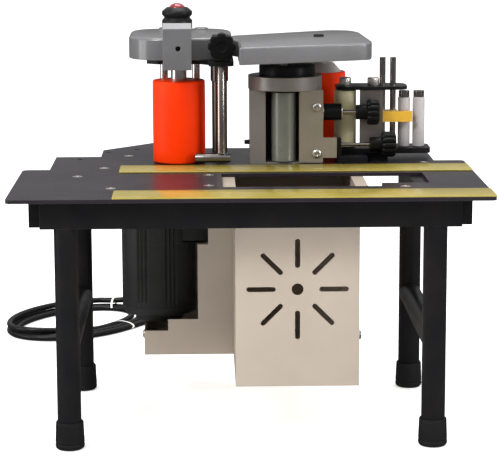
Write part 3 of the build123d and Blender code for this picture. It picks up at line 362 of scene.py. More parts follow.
def turned(name: str, profile: list[tuple[float, ...]], at: tuple[float, float], along: Along = Along.Z,
           sides: int = 72, lobes: int = 0, swell: float = 0.0, loop: bool = False) -> bpy.types.Object:
    """Carry a profile round an axis.

    A point is at radius r times (1 + swell times wave) and height h, where the wave runs from
    -1 in the valleys to 1 on fat round lobes: 2 |cos(lobes times angle / 2)|^0.6 - 1. A third
    value in a profile row blends that row's circle towards a hexagon of the same flat-to-flat
    radius, which gives a socket or a nut.

    Args:
        name: Name of the object.
        profile: Rows of radius, height and, if wanted, share of hexagon.
        at: Axis position in the two directions across it, in millimetres.
        along: Direction of the axis.
        sides: Points round the axis.
        lobes: Number of lobes.
        swell: Height of the lobes as a share of the radius.
        loop: True for a profile that closes on itself round a bore.

    Returns:
        The turned object.
    """
    rows = np.array([(row[0], row[1], row[2] if len(row) > 2 else 0.0) for row in profile])
    angle = np.linspace(0, 2 * pi, sides, endpoint=False)
    hexagon = 1 / np.cos((angle % (pi / 3)) - pi / 6)
    wave = 2 * np.abs(np.cos(lobes * angle / 2)) ** 0.6 - 1
    shape = (1 + swell * wave)[None, :] * (1 + rows[:, 2:3] * (hexagon[None, :] - 1))
    radius = rows[:, :1] * shape
    points = np.empty((len(rows), sides, 3))
    first, second, third = along.value
    points[..., first] = at[0] + radius * np.cos(angle)
    points[..., second] = at[1] + radius * np.sin(angle)
    points[..., third] = rows[:, 1:2]
    return skin(name, points, loop)


def rounded(corners: list[tuple[float, ...]], steps: int = 7) -> np.ndarray:
    """Round the corners of an outline.

    Each corner becomes a parabola between the points that lie its radius away from it on its
    two sides: (1-t)^2 A + 2t(1-t) C + t^2 B.

    Args:
        corners: Rows of x, y and the length taken off each side.
        steps: Points on each corner.

    Returns:
        The outline, shaped (points, 2), counter-clockwise.
    """
    rows = np.array(corners, dtype=float)
    point, reach = rows[:, :2], rows[:, 2:3]
    back = np.roll(point, 1, axis=0) - point
    ahead = np.roll(point, -1, axis=0) - point
    back /= np.linalg.norm(back, axis=1, keepdims=True)
    ahead /= np.linalg.norm(ahead, axis=1, keepdims=True)
    t = np.linspace(0, 1, steps)[None, :, None]
    start = (point + back * reach)[:, None, :]
    stop = (point + ahead * reach)[:, None, :]
    curve = (1 - t) ** 2 * start + 2 * t * (1 - t) * point[:, None, :] + t ** 2 * stop
    outline = curve.reshape(-1, 2)
    following = np.roll(outline, -1, axis=0)
    area = np.sum(outline[:, 0] * following[:, 1] - outline[:, 1] * following[:, 0])
    return outline if area > 0 else outline[::-1]


def oblong(x0: float, y0: float, x1: float, y1: float, reach: float) -> list[tuple[float, ...]]:
    """Corners of a rectangle, each with the same reach."""
    return [(x0, y0, reach), (x1, y0, reach), (x1, y1, reach), (x0, y1, reach)]


def pulled_in(outline: np.ndarray, depth: float) -> np.ndarray:
    """Move a counter-clockwise outline inwards along its mitred normals.

    Args:
        outline: Points shaped (points, 2).
        depth: Distance inwards.

    Returns:
        The new outline.
    """
    edge = np.roll(outline, -1, axis=0) - outline
    edge /= np.maximum(np.linalg.norm(edge, axis=1, keepdims=True), 1e-9)
    normal = np.stack([-edge[:, 1], edge[:, 0]], axis=1)
    before = np.roll(normal, 1, axis=0)
    miter = normal + before
    miter /= np.maximum(np.sum(miter * normal, axis=1, keepdims=True), 0.35)
    return outline + depth * miter


def stacked(outline: np.ndarray, layers: list[tuple[float, float]], along: Along = Along.Z) -> np.ndarray:
    """Stack copies of an outline, each pulled in by its own depth.

    Args:
        outline: Points shaped (points, 2).
        layers: Rows of depth inwards and height.
        along: Direction of the stack.

    Returns:
        Rings shaped (layers, points, 3).
    """
    rings = np.empty((len(layers), len(outline), 3))
    first, second, third = along.value
    for n, (depth, height) in enumerate(layers):
        flat = pulled_in(outline, depth)
        rings[n, :, first] = flat[:, 0]
        rings[n, :, second] = flat[:, 1]
        rings[n, :, third] = height
    return rings


def eased(low: float, high: float, edge: float, steps: int = 5) -> list[tuple[float, float]]:
    """Layers of a block whose top and bottom edges are quarter rounds.

    Args:
        low: Lowest height.
        high: Highest height.
        edge: Radius of the quarter rounds.
        steps: Layers in each one.

    Returns:
        Rows of depth inwards and height.
    """
    angle = np.linspace(0, pi / 2, steps)
    down = [(edge * (1 - sin(a)), low + edge * (1 - cos(a))) for a in angle]
    up = [(edge * (1 - cos(a)), high - edge * (1 - sin(a))) for a in angle]
    return down + up


def moulded(name: str, corners: list[tuple[float, ...]], low: float, high: float, edge: float,
            along: Along = Along.Z, steps: int = 7) -> bpy.types.Object:
    """Solid piece with an outline, rounded corners and eased edges."""
    return skin(name, stacked(rounded(corners, steps), eased(low, high, edge), along))


def cupped(name: str, corners: list[tuple[float, ...]], low: float, high: float, edge: float,
           wall: float, roof: float, steps: int = 9) -> bpy.types.Object:
    """Hollow cover, open below, with a rounded upper edge.

    Args:
        name: Name of the object.
        corners: Rows of x, y and corner reach.
        low: Height of the rim.
        high: Height of the top.
        edge: Radius of the upper edge.
        wall: Thickness of the side wall.
        roof: Thickness of the top.
        steps: Points on each corner.

    Returns:
        The cover.
    """
    outline = rounded(corners, steps)
    angle = np.linspace(0, pi / 2, 6)
    upper = [(edge * (1 - cos(a)), high - edge * (1 - sin(a))) for a in angle]
    layers = [(wall, high - roof), (wall, low + 0.5), (wall - 0.4, low), (0.4, low), (0.0, low + 0.5)]
    return skin(name, stacked(outline, layers + upper))


def joined(name: str, pieces: list[bpy.types.Object]) -> bpy.types.Object:
    """Make one object of several meshes.

    Args:
        name: Name of the joined object.
        pieces: Objects to join; they are removed.

    Returns:
        The joined object.
    """
    build = bmesh.new()
    for piece in pieces:
        build.from_mesh(piece.data)
    mesh = bpy.data.meshes.new(name)
    build.to_mesh(mesh)
    build.free()
    for piece in pieces:
        bpy.data.objects.remove(piece)
    mesh.set_sharp_from_angle(angle=radians(32))
    made = bpy.data.objects.new(name, mesh)
    bpy.context.scene.collection.objects.link(made)
    return made


def fitted(piece: bpy.types.Object, finish: Finish, body: str, *nodes: str) -> bpy.types.Object:
    """Dress a piece, put it on its body and let it stand for its nodes.

    Args:
        piece: The new piece.
        finish: Its finish.
        body: Body that it moves with.
        *nodes: CAD nodes that it replaces.

    Returns:
        The same piece.
    """
    if piece.type == "MESH":
        piece.data.materials.clear()
    piece.data.materials.append(finish.make())
    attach(piece, body)
    if nodes:
        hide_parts(*nodes)
    LOG.info("piece %s on %s for %s", piece.name, body, ", ".join(nodes) or "nothing")
    return piece


def dressed(finish: Finish, *nodes: str) -> None:
    """Give CAD nodes that keep their shape a finish.

    Args:
        finish: Their finish.
        *nodes: Names of the nodes.
    """
    for name in nodes:
        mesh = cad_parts[name].data
        mesh.materials.clear()
        mesh.materials.append(finish.make())
        LOG.info("node %s in %s", name, finish.name)


@dataclass
class Studio:
    """Camera, floor and lights."""

    eye: tuple[float, float, float] = (-0.04907, -2.1636, 0.5879)
    yaw: float = 0.0242
    pitch: float = 0.177
    roll: float = -0.0033
    lens: float = 140.4
    horizon: float = 0.12
    zenith: float = 0.85
    lamps: tuple[tuple[str, tuple[float, float, float], float, float], ...] = (
        ("key_lamp", (-1.3, -1.7, 2.0), 0.9, 44.0), ("fill_lamp", (1.9, -1.2, 1.2), 0.7, 14.0),
        ("top_lamp", (0.1, 0.3, 2.4), 1.6, 42.0), ("left_lamp", (-1.6, -0.35, 0.5), 0.9, 8.0),
        ("right_lamp", (1.4, -0.9, 0.6), 0.25, 3.0))

    def camera(self) -> None:
        """Place the camera."""
        ahead = np.array([sin(self.yaw) * cos(self.pitch), cos(self.yaw) * cos(self.pitch), -sin(self.pitch)])
        right = np.array([cos(self.yaw), -sin(self.yaw), 0.0])
        up = np.cross(right, ahead)
        across = cos(self.roll) * right + sin(self.roll) * up
        above = cos(self.roll) * up - sin(self.roll) * right
        data = bpy.data.cameras.new("camera")
        data.lens = self.lens
        data.sensor_width = 36.0
        data.clip_start = 0.05
        data.clip_end = 50.0
        view = bpy.data.objects.new("camera", data)
        bpy.context.scene.collection.objects.link(view)
        columns = np.column_stack([across, above, -ahead, self.eye])
        view.matrix_world = Matrix(columns.tolist() + [[0, 0, 0, 1]])
        bpy.context.scene.camera = view

    def lamp(self, name: str, place: tuple[float, float, float], size: float, power: float) -> None:
        """Add one soft square lamp that faces the machine.

        Args:
            name: Name of the lamp.
            place: Where it stands, in metres.
            size: Side of its square, in metres.
            power: Light output in watts.
        """
        data = bpy.data.lights.new(name, "AREA")
        data.size = size
        data.energy = power
        made = bpy.data.objects.new(name, data)
        bpy.context.scene.collection.objects.link(made)
        back = np.array(place) - np.array([0.0, 0.0, 0.25])
        back /= np.linalg.norm(back)
        side = np.cross([0.0, 0.0, 1.0], back)
        if np.linalg.norm(side) < 1e-6:
            side = np.array([1.0, 0.0, 0.0])
        side /= np.linalg.norm(side)
        columns = np.column_stack([side, np.cross(back, side), back, place])
        made.matrix_world = Matrix(columns.tolist() + [[0, 0, 0, 1]])

    def build(self) -> None:
        """Set the floor, the lamps and the soft light from above."""
        ring = np.array([[x, y] for x, y in ((-9, -6), (9, -6), (9, 16), (-9, 16))], dtype=float)
        points = np.zeros((2, 4, 3))
        points[:, :, :2] = ring * 1000
        points[0, :, 2] = -20.0
        floor = skin("studio_floor", points)
        floor.data.materials.append(FLOOR.make())
        floor.visible_glossy = False
        for name, place, size, power in self.lamps:
            self.lamp(name, place, size, power)
        self.sky()
        bpy.context.scene.view_settings.view_transform = "Standard"

    def sky(self) -> None:
        """Grade the light from all round: dim at the horizon, bright overhead."""
        world = bpy.data.worlds.new("studio_light")
        world.use_nodes = True
        tree = world.node_tree
        where = put(tree, "ShaderNodeTexCoord").outputs["Generated"]
        height = put(tree, "ShaderNodeSeparateXYZ", {"Vector": where}).outputs["Z"]
        grade = put(tree, "ShaderNodeMapRange", {"Value": height},
                    {"From Min": 0.0, "From Max": 0.75, "To Min": self.horizon, "To Max": self.zenith})
        tree.links.new(grade.outputs[0], tree.nodes["Background"].inputs["Strength"])
        tree.nodes["Background"].inputs["Color"].default_value = (1.0, 1.0, 1.0, 1.0)
        bpy.context.scene.world = world


@dataclass
class Lead:
    """Mains lead with its coil, ties, plug and strain relief."""

    centre: tuple[float, float] = (-218.0, 615.0)
    semi: tuple[float, float] = (105.0, 71.0)
    turn: float = 50.0
    start: float = -70.0
    turns: float = 2.7
    length: float = 1.92
    lap_points: int = 14
    # Each tie: place round the coil in degrees, shift outwards, half width, half height, middle height.
    tie_rows: tuple[tuple[float, ...], ...] = ((20, -4.0, 12.8, 8.6, 8.9), (-80, -4.5, 17.5, 5.3, 5.6))
    tie_half: float = 1.3
    route: list[tuple[float, float, float]] = field(default_factory=lambda: [
        (-66, 334, 90), (-66, 382, 90), (-63, 428, 68), (-58, 468, 32), (-53, 508, 10.3),
        (-48, 552, 4.3), (-43, 596, 4.3), (-61, 622, 4.3), (-91, 632, 4.3), (-118, 625.5, 4.3)])
    tail: list[tuple[float, float, float]] = field(default_factory=lambda: [
        (-182, 707, 13.0), (-167, 704.5, 13.6), (-153.8, 704.4, 15.0), (-140.4, 708.3, 16.2)])

    def on_ring(self, angle: np.ndarray, offset: np.ndarray, height: np.ndarray) -> np.ndarray:
        """Points of the coil: an ellipse turned in plan.

        Args:
            angle: Angle of each point in radians.
            offset: Distance outside the middle ellipse.
            height: Height above the floor.

        Returns:
            Points shaped (points, 3), in millimetres from the table's front edge.
        """
        a = (self.semi[0] + offset) * np.cos(angle)
        b = (self.semi[1] + offset) * np.sin(angle)
        c, s = cos(radians(self.turn)), sin(radians(self.turn))
        return np.stack([self.centre[0] + a * c - b * s, self.centre[1] + a * s + b * c, height], axis=1)

    def points(self) -> np.ndarray:
        """Control points of the whole cord.

        Returns:
            Points shaped (points, 3), in metres from the origin.
        """
        count = int(self.turns * self.lap_points)
        lap = np.linspace(0, self.turns, count)
        angle = radians(self.start) - 2 * pi * lap
        inward = np.interp(lap, (0, 1.7, 2.05, 2.15, 2.32, 2.5, 2.7), (9.4, -9.2, -18, -15, 7, 2, 2))
        loose = 1.3 * np.sin(2 * angle + 0.6)
        height = np.interp(lap, (0, 2.1, 2.22, 2.7), (4.4, 4.4, 12.9, 12.9))
        coil = self.on_ring(angle, inward + loose, height)
        line = np.concatenate([np.array(self.route), coil, np.array(self.tail)])
        line[:, 1] -= FRONT
        return line * MM

    def build(self) -> None:
        """Make the cord, its ties and its strain relief, and dress its plug."""
        points = self.points()
        curve = bpy.data.curves.new("mains_cord", "CURVE")
        curve.dimensions = "3D"
        spline = curve.splines.new("NURBS")
        spline.points.add(len(points) - 1)
        spline.points.foreach_set("co", np.column_stack([points, np.ones(len(points))]).ravel())
        spline.order_u = 3
        spline.use_endpoint_u = True
        spline.resolution_u = 6
        curve.resolution_u = 6
        curve.bevel_depth = CORD_D / 2 * MM
        curve.bevel_resolution = 4
        curve.use_fill_caps = True
        cord = bpy.data.objects.new("mains_cord", curve)
        bpy.context.scene.collection.objects.link(cord)
        fitted(cord, CORD, "base", "cord_lead", "cord_coil")
        ties = self.ties()
        dressed(PLUG, "mains_plug")
        self.relief()

    def relief(self) -> None:
        """Turn the tapered strain relief with its ribs."""
        relief = Span.of("strain_relief")
        gx, gz = relief.mid[0], relief.mid[2]
        back = relief.high[1]
        ribs = [(CORD_D / 2 + 0.1, back - 0.2), (CORD_D / 2 + 1.5, back)]
        for n in range(6):
            y = back - 2.2 - 3.4 * n
            r = CORD_D / 2 + 1.7 + 0.48 * n
            ribs += [(r, y), (r, y - 1.9), (r - 0.9, y - 2.1), (r - 0.9, y - 3.1)]
        foot = relief.low[1]
        ribs += [(8.4, foot + 6), (7, foot + 5), (7, foot), (4.1, foot)]
        fitted(turned("ribbed_strain_relief", ribs, (gz, gx), Along.Y, 40, loop=True), CORD, "base",
               "strain_relief")

    def ties(self) -> bpy.types.Object:
        """Two white ties round the bundle, each a band carried round an oval.

        Returns:
            Both ties as one object.
        """
        made = []
        for n, (degree, shift, wide, high, middle) in enumerate(self.tie_rows):
            angle = radians(degree)
            pair = self.on_ring(np.array([angle, angle - 0.02]), np.full(2, shift), np.full(2, middle))
            here = pair[0]
            ahead = (pair[1] - here) / np.linalg.norm(pair[1] - here)
            side = np.array([ahead[1], -ahead[0], 0.0])
            turn = np.linspace(0, 2 * pi, 48, endpoint=False)
            oval = np.stack([wide * np.cos(turn), high * np.sin(turn)], axis=1)
            flat = oval[:, :1] * side + oval[:, 1:] * np.array([0, 0, 1.0])
            half = self.tie_half
            band = ((1.0, -half), (1.0, half), (0.93, half), (0.93, -half))
            ring = np.array([here + scale * flat + along * ahead for scale, along in band])
            ring[..., 1] -= FRONT
            made.append(skin(f"tie_{n}", ring, loop=True))
        return fitted(joined("cord_ties", made), TIE, "base")


@dataclass
class Stand:
    """Rails, legs, braces and feet."""

    foot_r: float = 15.5

    def build(self) -> None:
        """Dress the steelwork and turn the four feet."""
        dressed(FRAME_COAT, "front_rail", "left_side_rail", "right_side_rail", "front_left_leg",
                "front_right_leg", "rear_left_leg", "rear_right_leg", "left_brace", "right_brace")
        feet = Span.of("rubber_feet")
        low, high = feet.low + self.foot_r, feet.high - self.foot_r
        places = [(x, y) for x in (low[0], high[0]) for y in (low[1], high[1])]
        profile = [(0, 0.0), (10.5, 0.0), (11.3, 0.5), (13.4, 0.7), (14.9, 2.0), (15.4, 4.0), (15.3, 6.0),
                   (14.9, 6.6), (14.9, 7.4), (15.3, 8.0), (14.7, 24.0), (14.5, 28.6), (14.1, 29.7),
                   (13.3, 30.0), (12.55, 29.6), (12.5, 10.2), (0, 10.2)]
        made = [turned(f"foot_{n}", profile, place) for n, place in enumerate(places)]
        fitted(joined("ribbed_rubber_feet", made), FOOT, "base", "rubber_feet")


@dataclass
class Table:
    """Table plate and slide strips."""

    edge: float = 0.5
    corner: float = 1.5

    def build(self) -> None:
        """Dress the plate and mould the strips."""
        dressed(TABLE_COAT, "table_plate")
        for node in ("front_wear_strip", "rear_wear_strip"):
            s = Span.of(node)
            corners = oblong(*s.low[:2], *s.high[:2], self.corner)
            fitted(moulded(f"{node}_gloss", corners, s.low[2], s.high[2], self.edge), STRIP, "base", node)


@dataclass
class Fasteners:
    """Countersunk, pan-head and cover screws, placed from the table's front edge."""

    csk: list[tuple[float, float]] = field(default_factory=lambda: [
        (-186, 159), (-146, 74), (-43, 163), (-43, 89), (164, 76), (203, 251), (-160, 221), (-136, 318)])
    pot_rise: tuple[float, float] = (12.0, 65.0)
    pot_inset: float = 22.6
    right_x: float = 115.0  # the front box's side; its top lip reaches further
    right_z: float = 111.0
    left_z: float = 72.0
    cover: tuple[float, float] = (86.0, 312.0)
    pan_r: float = 5.0

    def build(self) -> None:
        """Turn every screw and join those that are one node."""
        top = Span.of("table_plate").high[2]
        made = []
        for n, (x, d) in enumerate(self.csk):
            profile = [(0, top - 12), (3, top - 12), (3, top - 3), (5.6, top - 0.4), (5.7, top - 0.1),
                       (5.3, top), (2.35, top, 1.0), (2.1, top - 0.3, 1.0), (2.1, top - 2.2, 1.0),
                       (0, top - 2.6)]
            made.append(turned(f"csk_{n}", profile, (x, d - FRONT), sides=48))
        pot = Span.of("pot_front_plate")
        for n, rise in enumerate(self.pot_rise):
            at = (top + rise, pot.high[0] - self.pot_inset)
            made.append(self.pan(f"pan_{n}", at, pot.low[1], -1.0, Along.Y))
        front, side = Span.of("front_enclosure"), Span.of("side_enclosure")
        made.append(self.pan("pan_right", (front.low[1] + 10, self.right_z), self.right_x, 1.0, Along.X))
        made.append(self.pan("pan_left", (side.mid[1] - 20, self.left_z), side.low[0], -1.0, Along.X))
        fitted(joined("countersunk_and_pan_screws", made), ZINC_SCREW, "base", "machine_screws")
        cap = Span.of("top_cover").high[2]
        profile = [(0, cap - 1.5), (6, cap - 1.5), (6, cap + 2.0), (5.5, cap + 2.5), (3.2, cap + 2.5, 1.0),
                   (3.0, cap + 2.2, 1.0), (3.0, cap + 0.4, 1.0), (0, cap + 0.2)]
        at = (self.cover[0], self.cover[1] - FRONT)
        fitted(turned("cover_screw", profile, at, sides=48), SCREW_STEEL, "base")

    def pan(self, name: str, at: tuple[float, float], face: float, out: float,
            along: Along) -> bpy.types.Object:
        """Turn a domed screw with a hexagon socket.

        Args:
            name: Name of the screw.
            at: Axis position across the screw.
            face: Where the head's underside sits.
            out: 1 or -1, the way that the head points.
            along: Direction of the screw.

        Returns:
            The screw.
        """
        r = self.pan_r
        rows = [(0, -7.0), (2.5, -7.0), (2.5, 0.0), (r, 0.0), (r, 1.2), (r * 0.94, 2.0), (r * 0.78, 2.6),
                (r * 0.5, 3.0), (1.9, 3.0, 1.0), (1.8, 2.8, 1.0), (1.8, 1.2, 1.0), (0, 1.0)]
        return turned(name, [(row[0], face + out * row[1], *row[2:]) for row in rows], at, along, 48)


@dataclass
class Enclosures:
    """Painted sheet boxes under the table."""

    def build(self) -> None:
        """Dress both boxes."""
        dressed(SHEET_PAINT, "front_enclosure", "side_enclosure")


@dataclass
class Motor:
    """Motor, gearhead and what is inside them."""

    groups: int = 8
    first: float = -25.5
    groove_mm: float = 2.0
    case_wall: float = 5.0
    half: float = 33.0
    meet: float = 26.5
    bore: float = 5.05
    opening: tuple[float, float] = (48.0, 312.0)

    def grooves(self, angle: np.ndarray) -> np.ndarray:
        """Share of the groove depth at each angle: groups of three rounded grooves.

        Args:
            angle: Angles round the motor in radians.

        Returns:
            Values from 0 on the lands to 1 in a groove.
        """
        local = ((np.degrees(angle) + 90 - self.first + 20) % (360 / self.groups)) - 20
        return np.where(np.abs(local) < 10, 0.5 + 0.5 * np.cos(local / 10 * 3 * pi), 0.0)

    def gearhead(self, x: float, y: float, radius: float) -> None:
        """Make the gearhead's grooved barrel and its gear chamber on the right.

        Args:
            x: The motor's axis across.
            y: The motor's axis from front to back.
            radius: The motor's radius.
        """
        case = Span.of("gearhead_case")
        low, high = case.low[2], case.high[2]
        angle = np.radians(np.linspace(*self.opening, 529))
        outer = radius - self.groove_mm * self.grooves(angle)
        within = radius - self.case_wall
        rings = np.empty((len(angle), 4, 3))
        for n, (size, height) in enumerate(((outer, low), (outer, high), (within, high), (within, low))):
            rings[:, n, 0] = x + size * np.cos(angle)
            rings[:, n, 1] = y + size * np.sin(angle)
            rings[:, n, 2] = height
        barrel = skin("barrel", rings, smooth=50)
        left, right = x + self.meet, case.high[0]
        inner = right - self.case_wall
        front, back = y - self.half, y + self.half
        near, far = front + self.case_wall, back - self.case_wall
        wall = [(left, front, 0.2), (right, front, 4), (right, back, 4), (left, back, 0.2),
                (left, far, 0.2), (inner, far, 2), (inner, near, 2), (left, near, 0.2)]
        chamber = moulded("chamber", wall, low, high, 0.8)
        base = [(left, front, 0.2), (right - 1, front, 4), (right - 1, back, 4), (left, back, 0.2)]
        floor = moulded("chamber_floor", base, low, low + 3, 0.4)
        made = joined("grooved_gearhead_case", [barrel, chamber, floor])
        fitted(made, MOTOR_PAINT, "base", "gearhead_case")

    def build(self) -> None:
        """Make the ribbed shell and the cap, and dress the rest."""
        shell = Span.of("motor_shell")
        cap = Span.of("motor_end_cap")
        x, y = shell.mid[0], shell.mid[1]
        radius = shell.size[0] / 2
        angle = np.linspace(0, 2 * pi, 720, endpoint=False)
        ribs = self.grooves(angle)
        low, high = shell.low[2], shell.high[2]
        deep = self.groove_mm
        layers = np.array([(3, 0, low), (0, 0, low), (0, 0, low + 6), (0, deep, low + 9), (0, deep, high),
                           (3, 0, high)])
        rings = np.empty((len(layers), len(angle), 3))
        size = radius - layers[:, :1] - layers[:, 1:2] * ribs[None, :]
        rings[..., 0] = x + size * np.cos(angle)
        rings[..., 1] = y + size * np.sin(angle)
        rings[..., 2] = layers[:, 2:]
        fitted(skin("ribbed_motor_shell", rings, loop=True, smooth=50), MOTOR_PAINT, "base", "motor_shell")
        z = cap.low[2]
        top = cap.high[2]
        bore = self.bore
        profile = [(bore, z + 4), (bore, z + 9.5), (radius - 3, z + 10.5), (radius - 3, top), (radius, top),
                   (radius, z + 14), (radius - 0.7, z + 11.6), (radius - 2.2, z + 9.6),
                   (radius - 4.5, z + 8.4), (radius - 7, z + 8), (29.5, z + 8), (28.6, z + 7.4), (28, z + 6),
                   (28, z + 1.2), (27.4, z + 0.3), (26.5, z), (14, z), (13.2, z + 0.6), (12.6, z + 1.4),
                   (7.5, z + 1.4), (6.6, z + 0.6), (5.6, z + 1.0), (bore, z + 1.6)]
        fitted(turned("turned_end_cap", profile, (x, y), loop=True), CAP_CASTING, "base", "motor_end_cap")
        self.gearhead(x, y, radius)
        dressed(STATOR_STEEL, "motor_stator")
        dressed(ROTOR_STEEL, "motor_rotor")


@dataclass
class Rollers:
    """Feed and rear rollers with their shafts."""

    bore: float = 22.0

    def sleeve(self, name: str, node: str, body: str, closed: bool) -> None:
        """Turn a soft sleeve with rolled ends and a faint crown.

        Args:
            name: Name of the sleeve.
            node: Node that it replaces.
            body: Body that it turns with.
            closed: True when its top reaches inwards over the core.
        """
        s = Span.of(node)
        r = s.size[0] / 2
        bore = self.bore
        low, high = s.low[2], s.high[2]
        height = np.linspace(0, 1, 9)
        wall = [(r - 0.25 * (2 * h - 1) ** 2, low + 1.8 + h * (high - low - 3.6)) for h in height]
        profile = ([(bore, low), (r - 1.9, low), (r - 0.9, low + 0.25), (r - 0.45, low + 0.9)] + wall
                   + [(r - 0.45, high - 0.9), (r - 0.9, high - 0.25), (r - 1.9, high)])
        if closed:
            profile += [(9.3, high), (9.3, high - 1.4), (bore, high - 1.4)]
        else:
            profile += [(bore + 0.8, high), (bore, high - 0.8)]
        fitted(turned(name, profile, (s.mid[0], s.mid[1]), sides=128, loop=True), SILICONE, body, node)

    def build(self) -> None:
        """Make the sleeves and cores and dress the shafts."""
        self.sleeve("feed_sleeve_rolled", "feed_roller_sleeve", "feed", True)
        self.sleeve("rear_sleeve_rolled", "rear_roller_sleeve", "rear", False)
        core = Span.of("feed_roller_core")
        low, high = core.low[2], core.high[2] - 1.6
        profile = [(9.05, low), (self.bore - 0.1, low), (self.bore - 0.1, high), (9.05, high)]
        made = turned("turned_feed_core", profile, (core.mid[0], core.mid[1]), loop=True)
        fitted(made, CORE_ALLOY, "feed", "feed_roller_core")
        dressed(CORE_ALLOY, "rear_roller_core")
        dressed(BRIGHT_STEEL, "feed_shaft")
        dressed(WHEEL_STEEL, "feed_wheels")
        dressed(BRONZE, "shaft_bushes")


@dataclass
class Head:
    """Posts, drive plate, castings and belts, placed from the table's front edge."""

    lobe_x: tuple[float, float] = (-133.0, -15.0)
    lobe_y: tuple[float, float] = (245.0, 397.0)
    boss: tuple[float, ...] = (-38.0, 225.0, -18.0, 275.0)
    pads: tuple[tuple[float, float], ...] = ((-50.0, 372.0), (-92.0, 378.0))
    join: float = -15.0
    post_x: tuple[float, float] = (-93.5, -56.5)
    post_y: float = 312.0
    column_at: tuple[float, float] = (-29.0, 352.0)

    def build(self) -> None:
        """Mould the castings and dress the plate and belts."""
        house = Span.of("top_housing")
        low, roof = house.low[2], house.high[2] - 2.5
        (x0, x1), (y0, y1) = self.lobe_x, self.lobe_y
        lobe = cupped("cast_housing", oblong(x0, y0 - FRONT, x1, y1 - FRONT, 50), low, roof, 3.5, 4, 4, 17)
        x0, y0, x1, y1 = self.boss
        boss = moulded("housing_boss", oblong(x0, y0 - FRONT, x1, y1 - FRONT, 3), low, roof + 2, 1.6)
        rows = [(0, roof - 0.5), (8, roof - 0.5), (8, roof + 1.7), (7.2, roof + 2.5), (0, roof + 2.5)]
        pads = [turned(f"pad_{n}", rows, (x, y - FRONT)) for n, (x, y) in enumerate(self.pads)]
        fitted(joined("cast_top_housing", [lobe, *pads]), CAST_ENAMEL, "base", "top_housing")
        fitted(boss, PLATE_COAT, "base")
        cover = Span.of("top_cover")
        plan = [(self.join + 6, 160, 3), (138, 216, 8), (142, 243, 6), (138, 374, 10), (130, 402, 10),
                (105, 410, 8), (self.join, 332, 4), (self.join, 275, 2), (self.join + 6, 262, 3)]
        corners = [(x, y - FRONT, r) for x, y, r in plan]
        lid = cupped("cast_top_cover", corners, cover.low[2], cover.high[2], 2.2, 3.0, 4.0)
        fitted(lid, CAST_ENAMEL, "base", "top_cover")
        dressed(PLATE_COAT, "drive_plate")
        dressed(BELT, "drive_belts")
        self.posts()

    def posts(self) -> None:
        """Turn the two posts and the column with its collar."""
        s = Span.of("support_posts")
        low, high = s.low[2], s.high[2]
        rows = [(0, low), (4.1, low), (4.5, low + 0.4), (4.5, high), (0, high)]
        made = [turned(f"post_{n}", rows, (x, self.post_y - FRONT)) for n, x in enumerate(self.post_x)]
        collar = high - 29
        rows = [(0, low), (8.6, low), (9, low + 0.5), (9, collar), (10.1, collar), (10.5, collar + 0.5),
                (10.5, high), (0, high)]
        column = turned("column", rows, (self.column_at[0], self.column_at[1] - FRONT))
        fitted(joined("turned_support_posts", made), BRIGHT_STEEL, "base", "support_posts")
        fitted(column, COLUMN_STEEL, "base")


@dataclass
class StartButton:
    """Switch box, rubber boot and red cap."""

    socket_at: tuple[float, float] = (403.0, -76.0)

    def build(self) -> None:
        """Dress the box and turn the boot, the cap and the socket in the box's front."""
        box = Span.of("switch_box")
        dressed(CAST_ENAMEL, "switch_box")
        dressed(SWITCH, "switch_body")
        boot = Span.of("button_boot")
        x, y = boot.mid[0], boot.mid[1]
        z = boot.low[2]
        profile = [(9.7, z), (16.4, z), (17, z + 0.6), (17, z + 8.3), (16.7, z + 9.2), (14.7, z + 11.4),
                   (14.3, z + 12), (14.7, z + 12.6), (16.7, z + 14.8), (17, z + 15.7), (17, z + 18.4),
                   (16.5, z + 19.4), (12.2, z + 22.9), (11.3, z + 23.4), (10.4, z + 23.5), (9.8, z + 23.2),
                   (9.7, z + 22.5)]
        made = turned("ribbed_button_boot", profile, (x, y), sides=96, loop=True)
        fitted(made, BOOT, "base", "button_boot")
        cap = Span.of("button_cap")
        low, high = cap.low[2], cap.high[2]
        skirt = low + 11
        rise = np.linspace(0, pi / 2, 12)
        dome = [(9 * cos(a), high - 6.2 + 6.2 * sin(a)) for a in rise]
        profile = [(0, low), (3.6, low), (4, low + 0.4), (4, skirt), (8.6, skirt), (9, skirt + 0.4)] + dome
        fitted(turned("domed_red_cap", profile, (x, y), sides=96), RED_CAP, "button", "button_cap")
        face = box.low[1]
        hole = [(0, face + 4), (2.6, face + 4), (2.6, face + 0.4), (3.0, face + 0.1), (3.0, face + 5.8),
                (0, face + 5.8)]
        fitted(turned("switch_box_socket", hole, self.socket_at, Along.Y, 40), BOOT, "base")


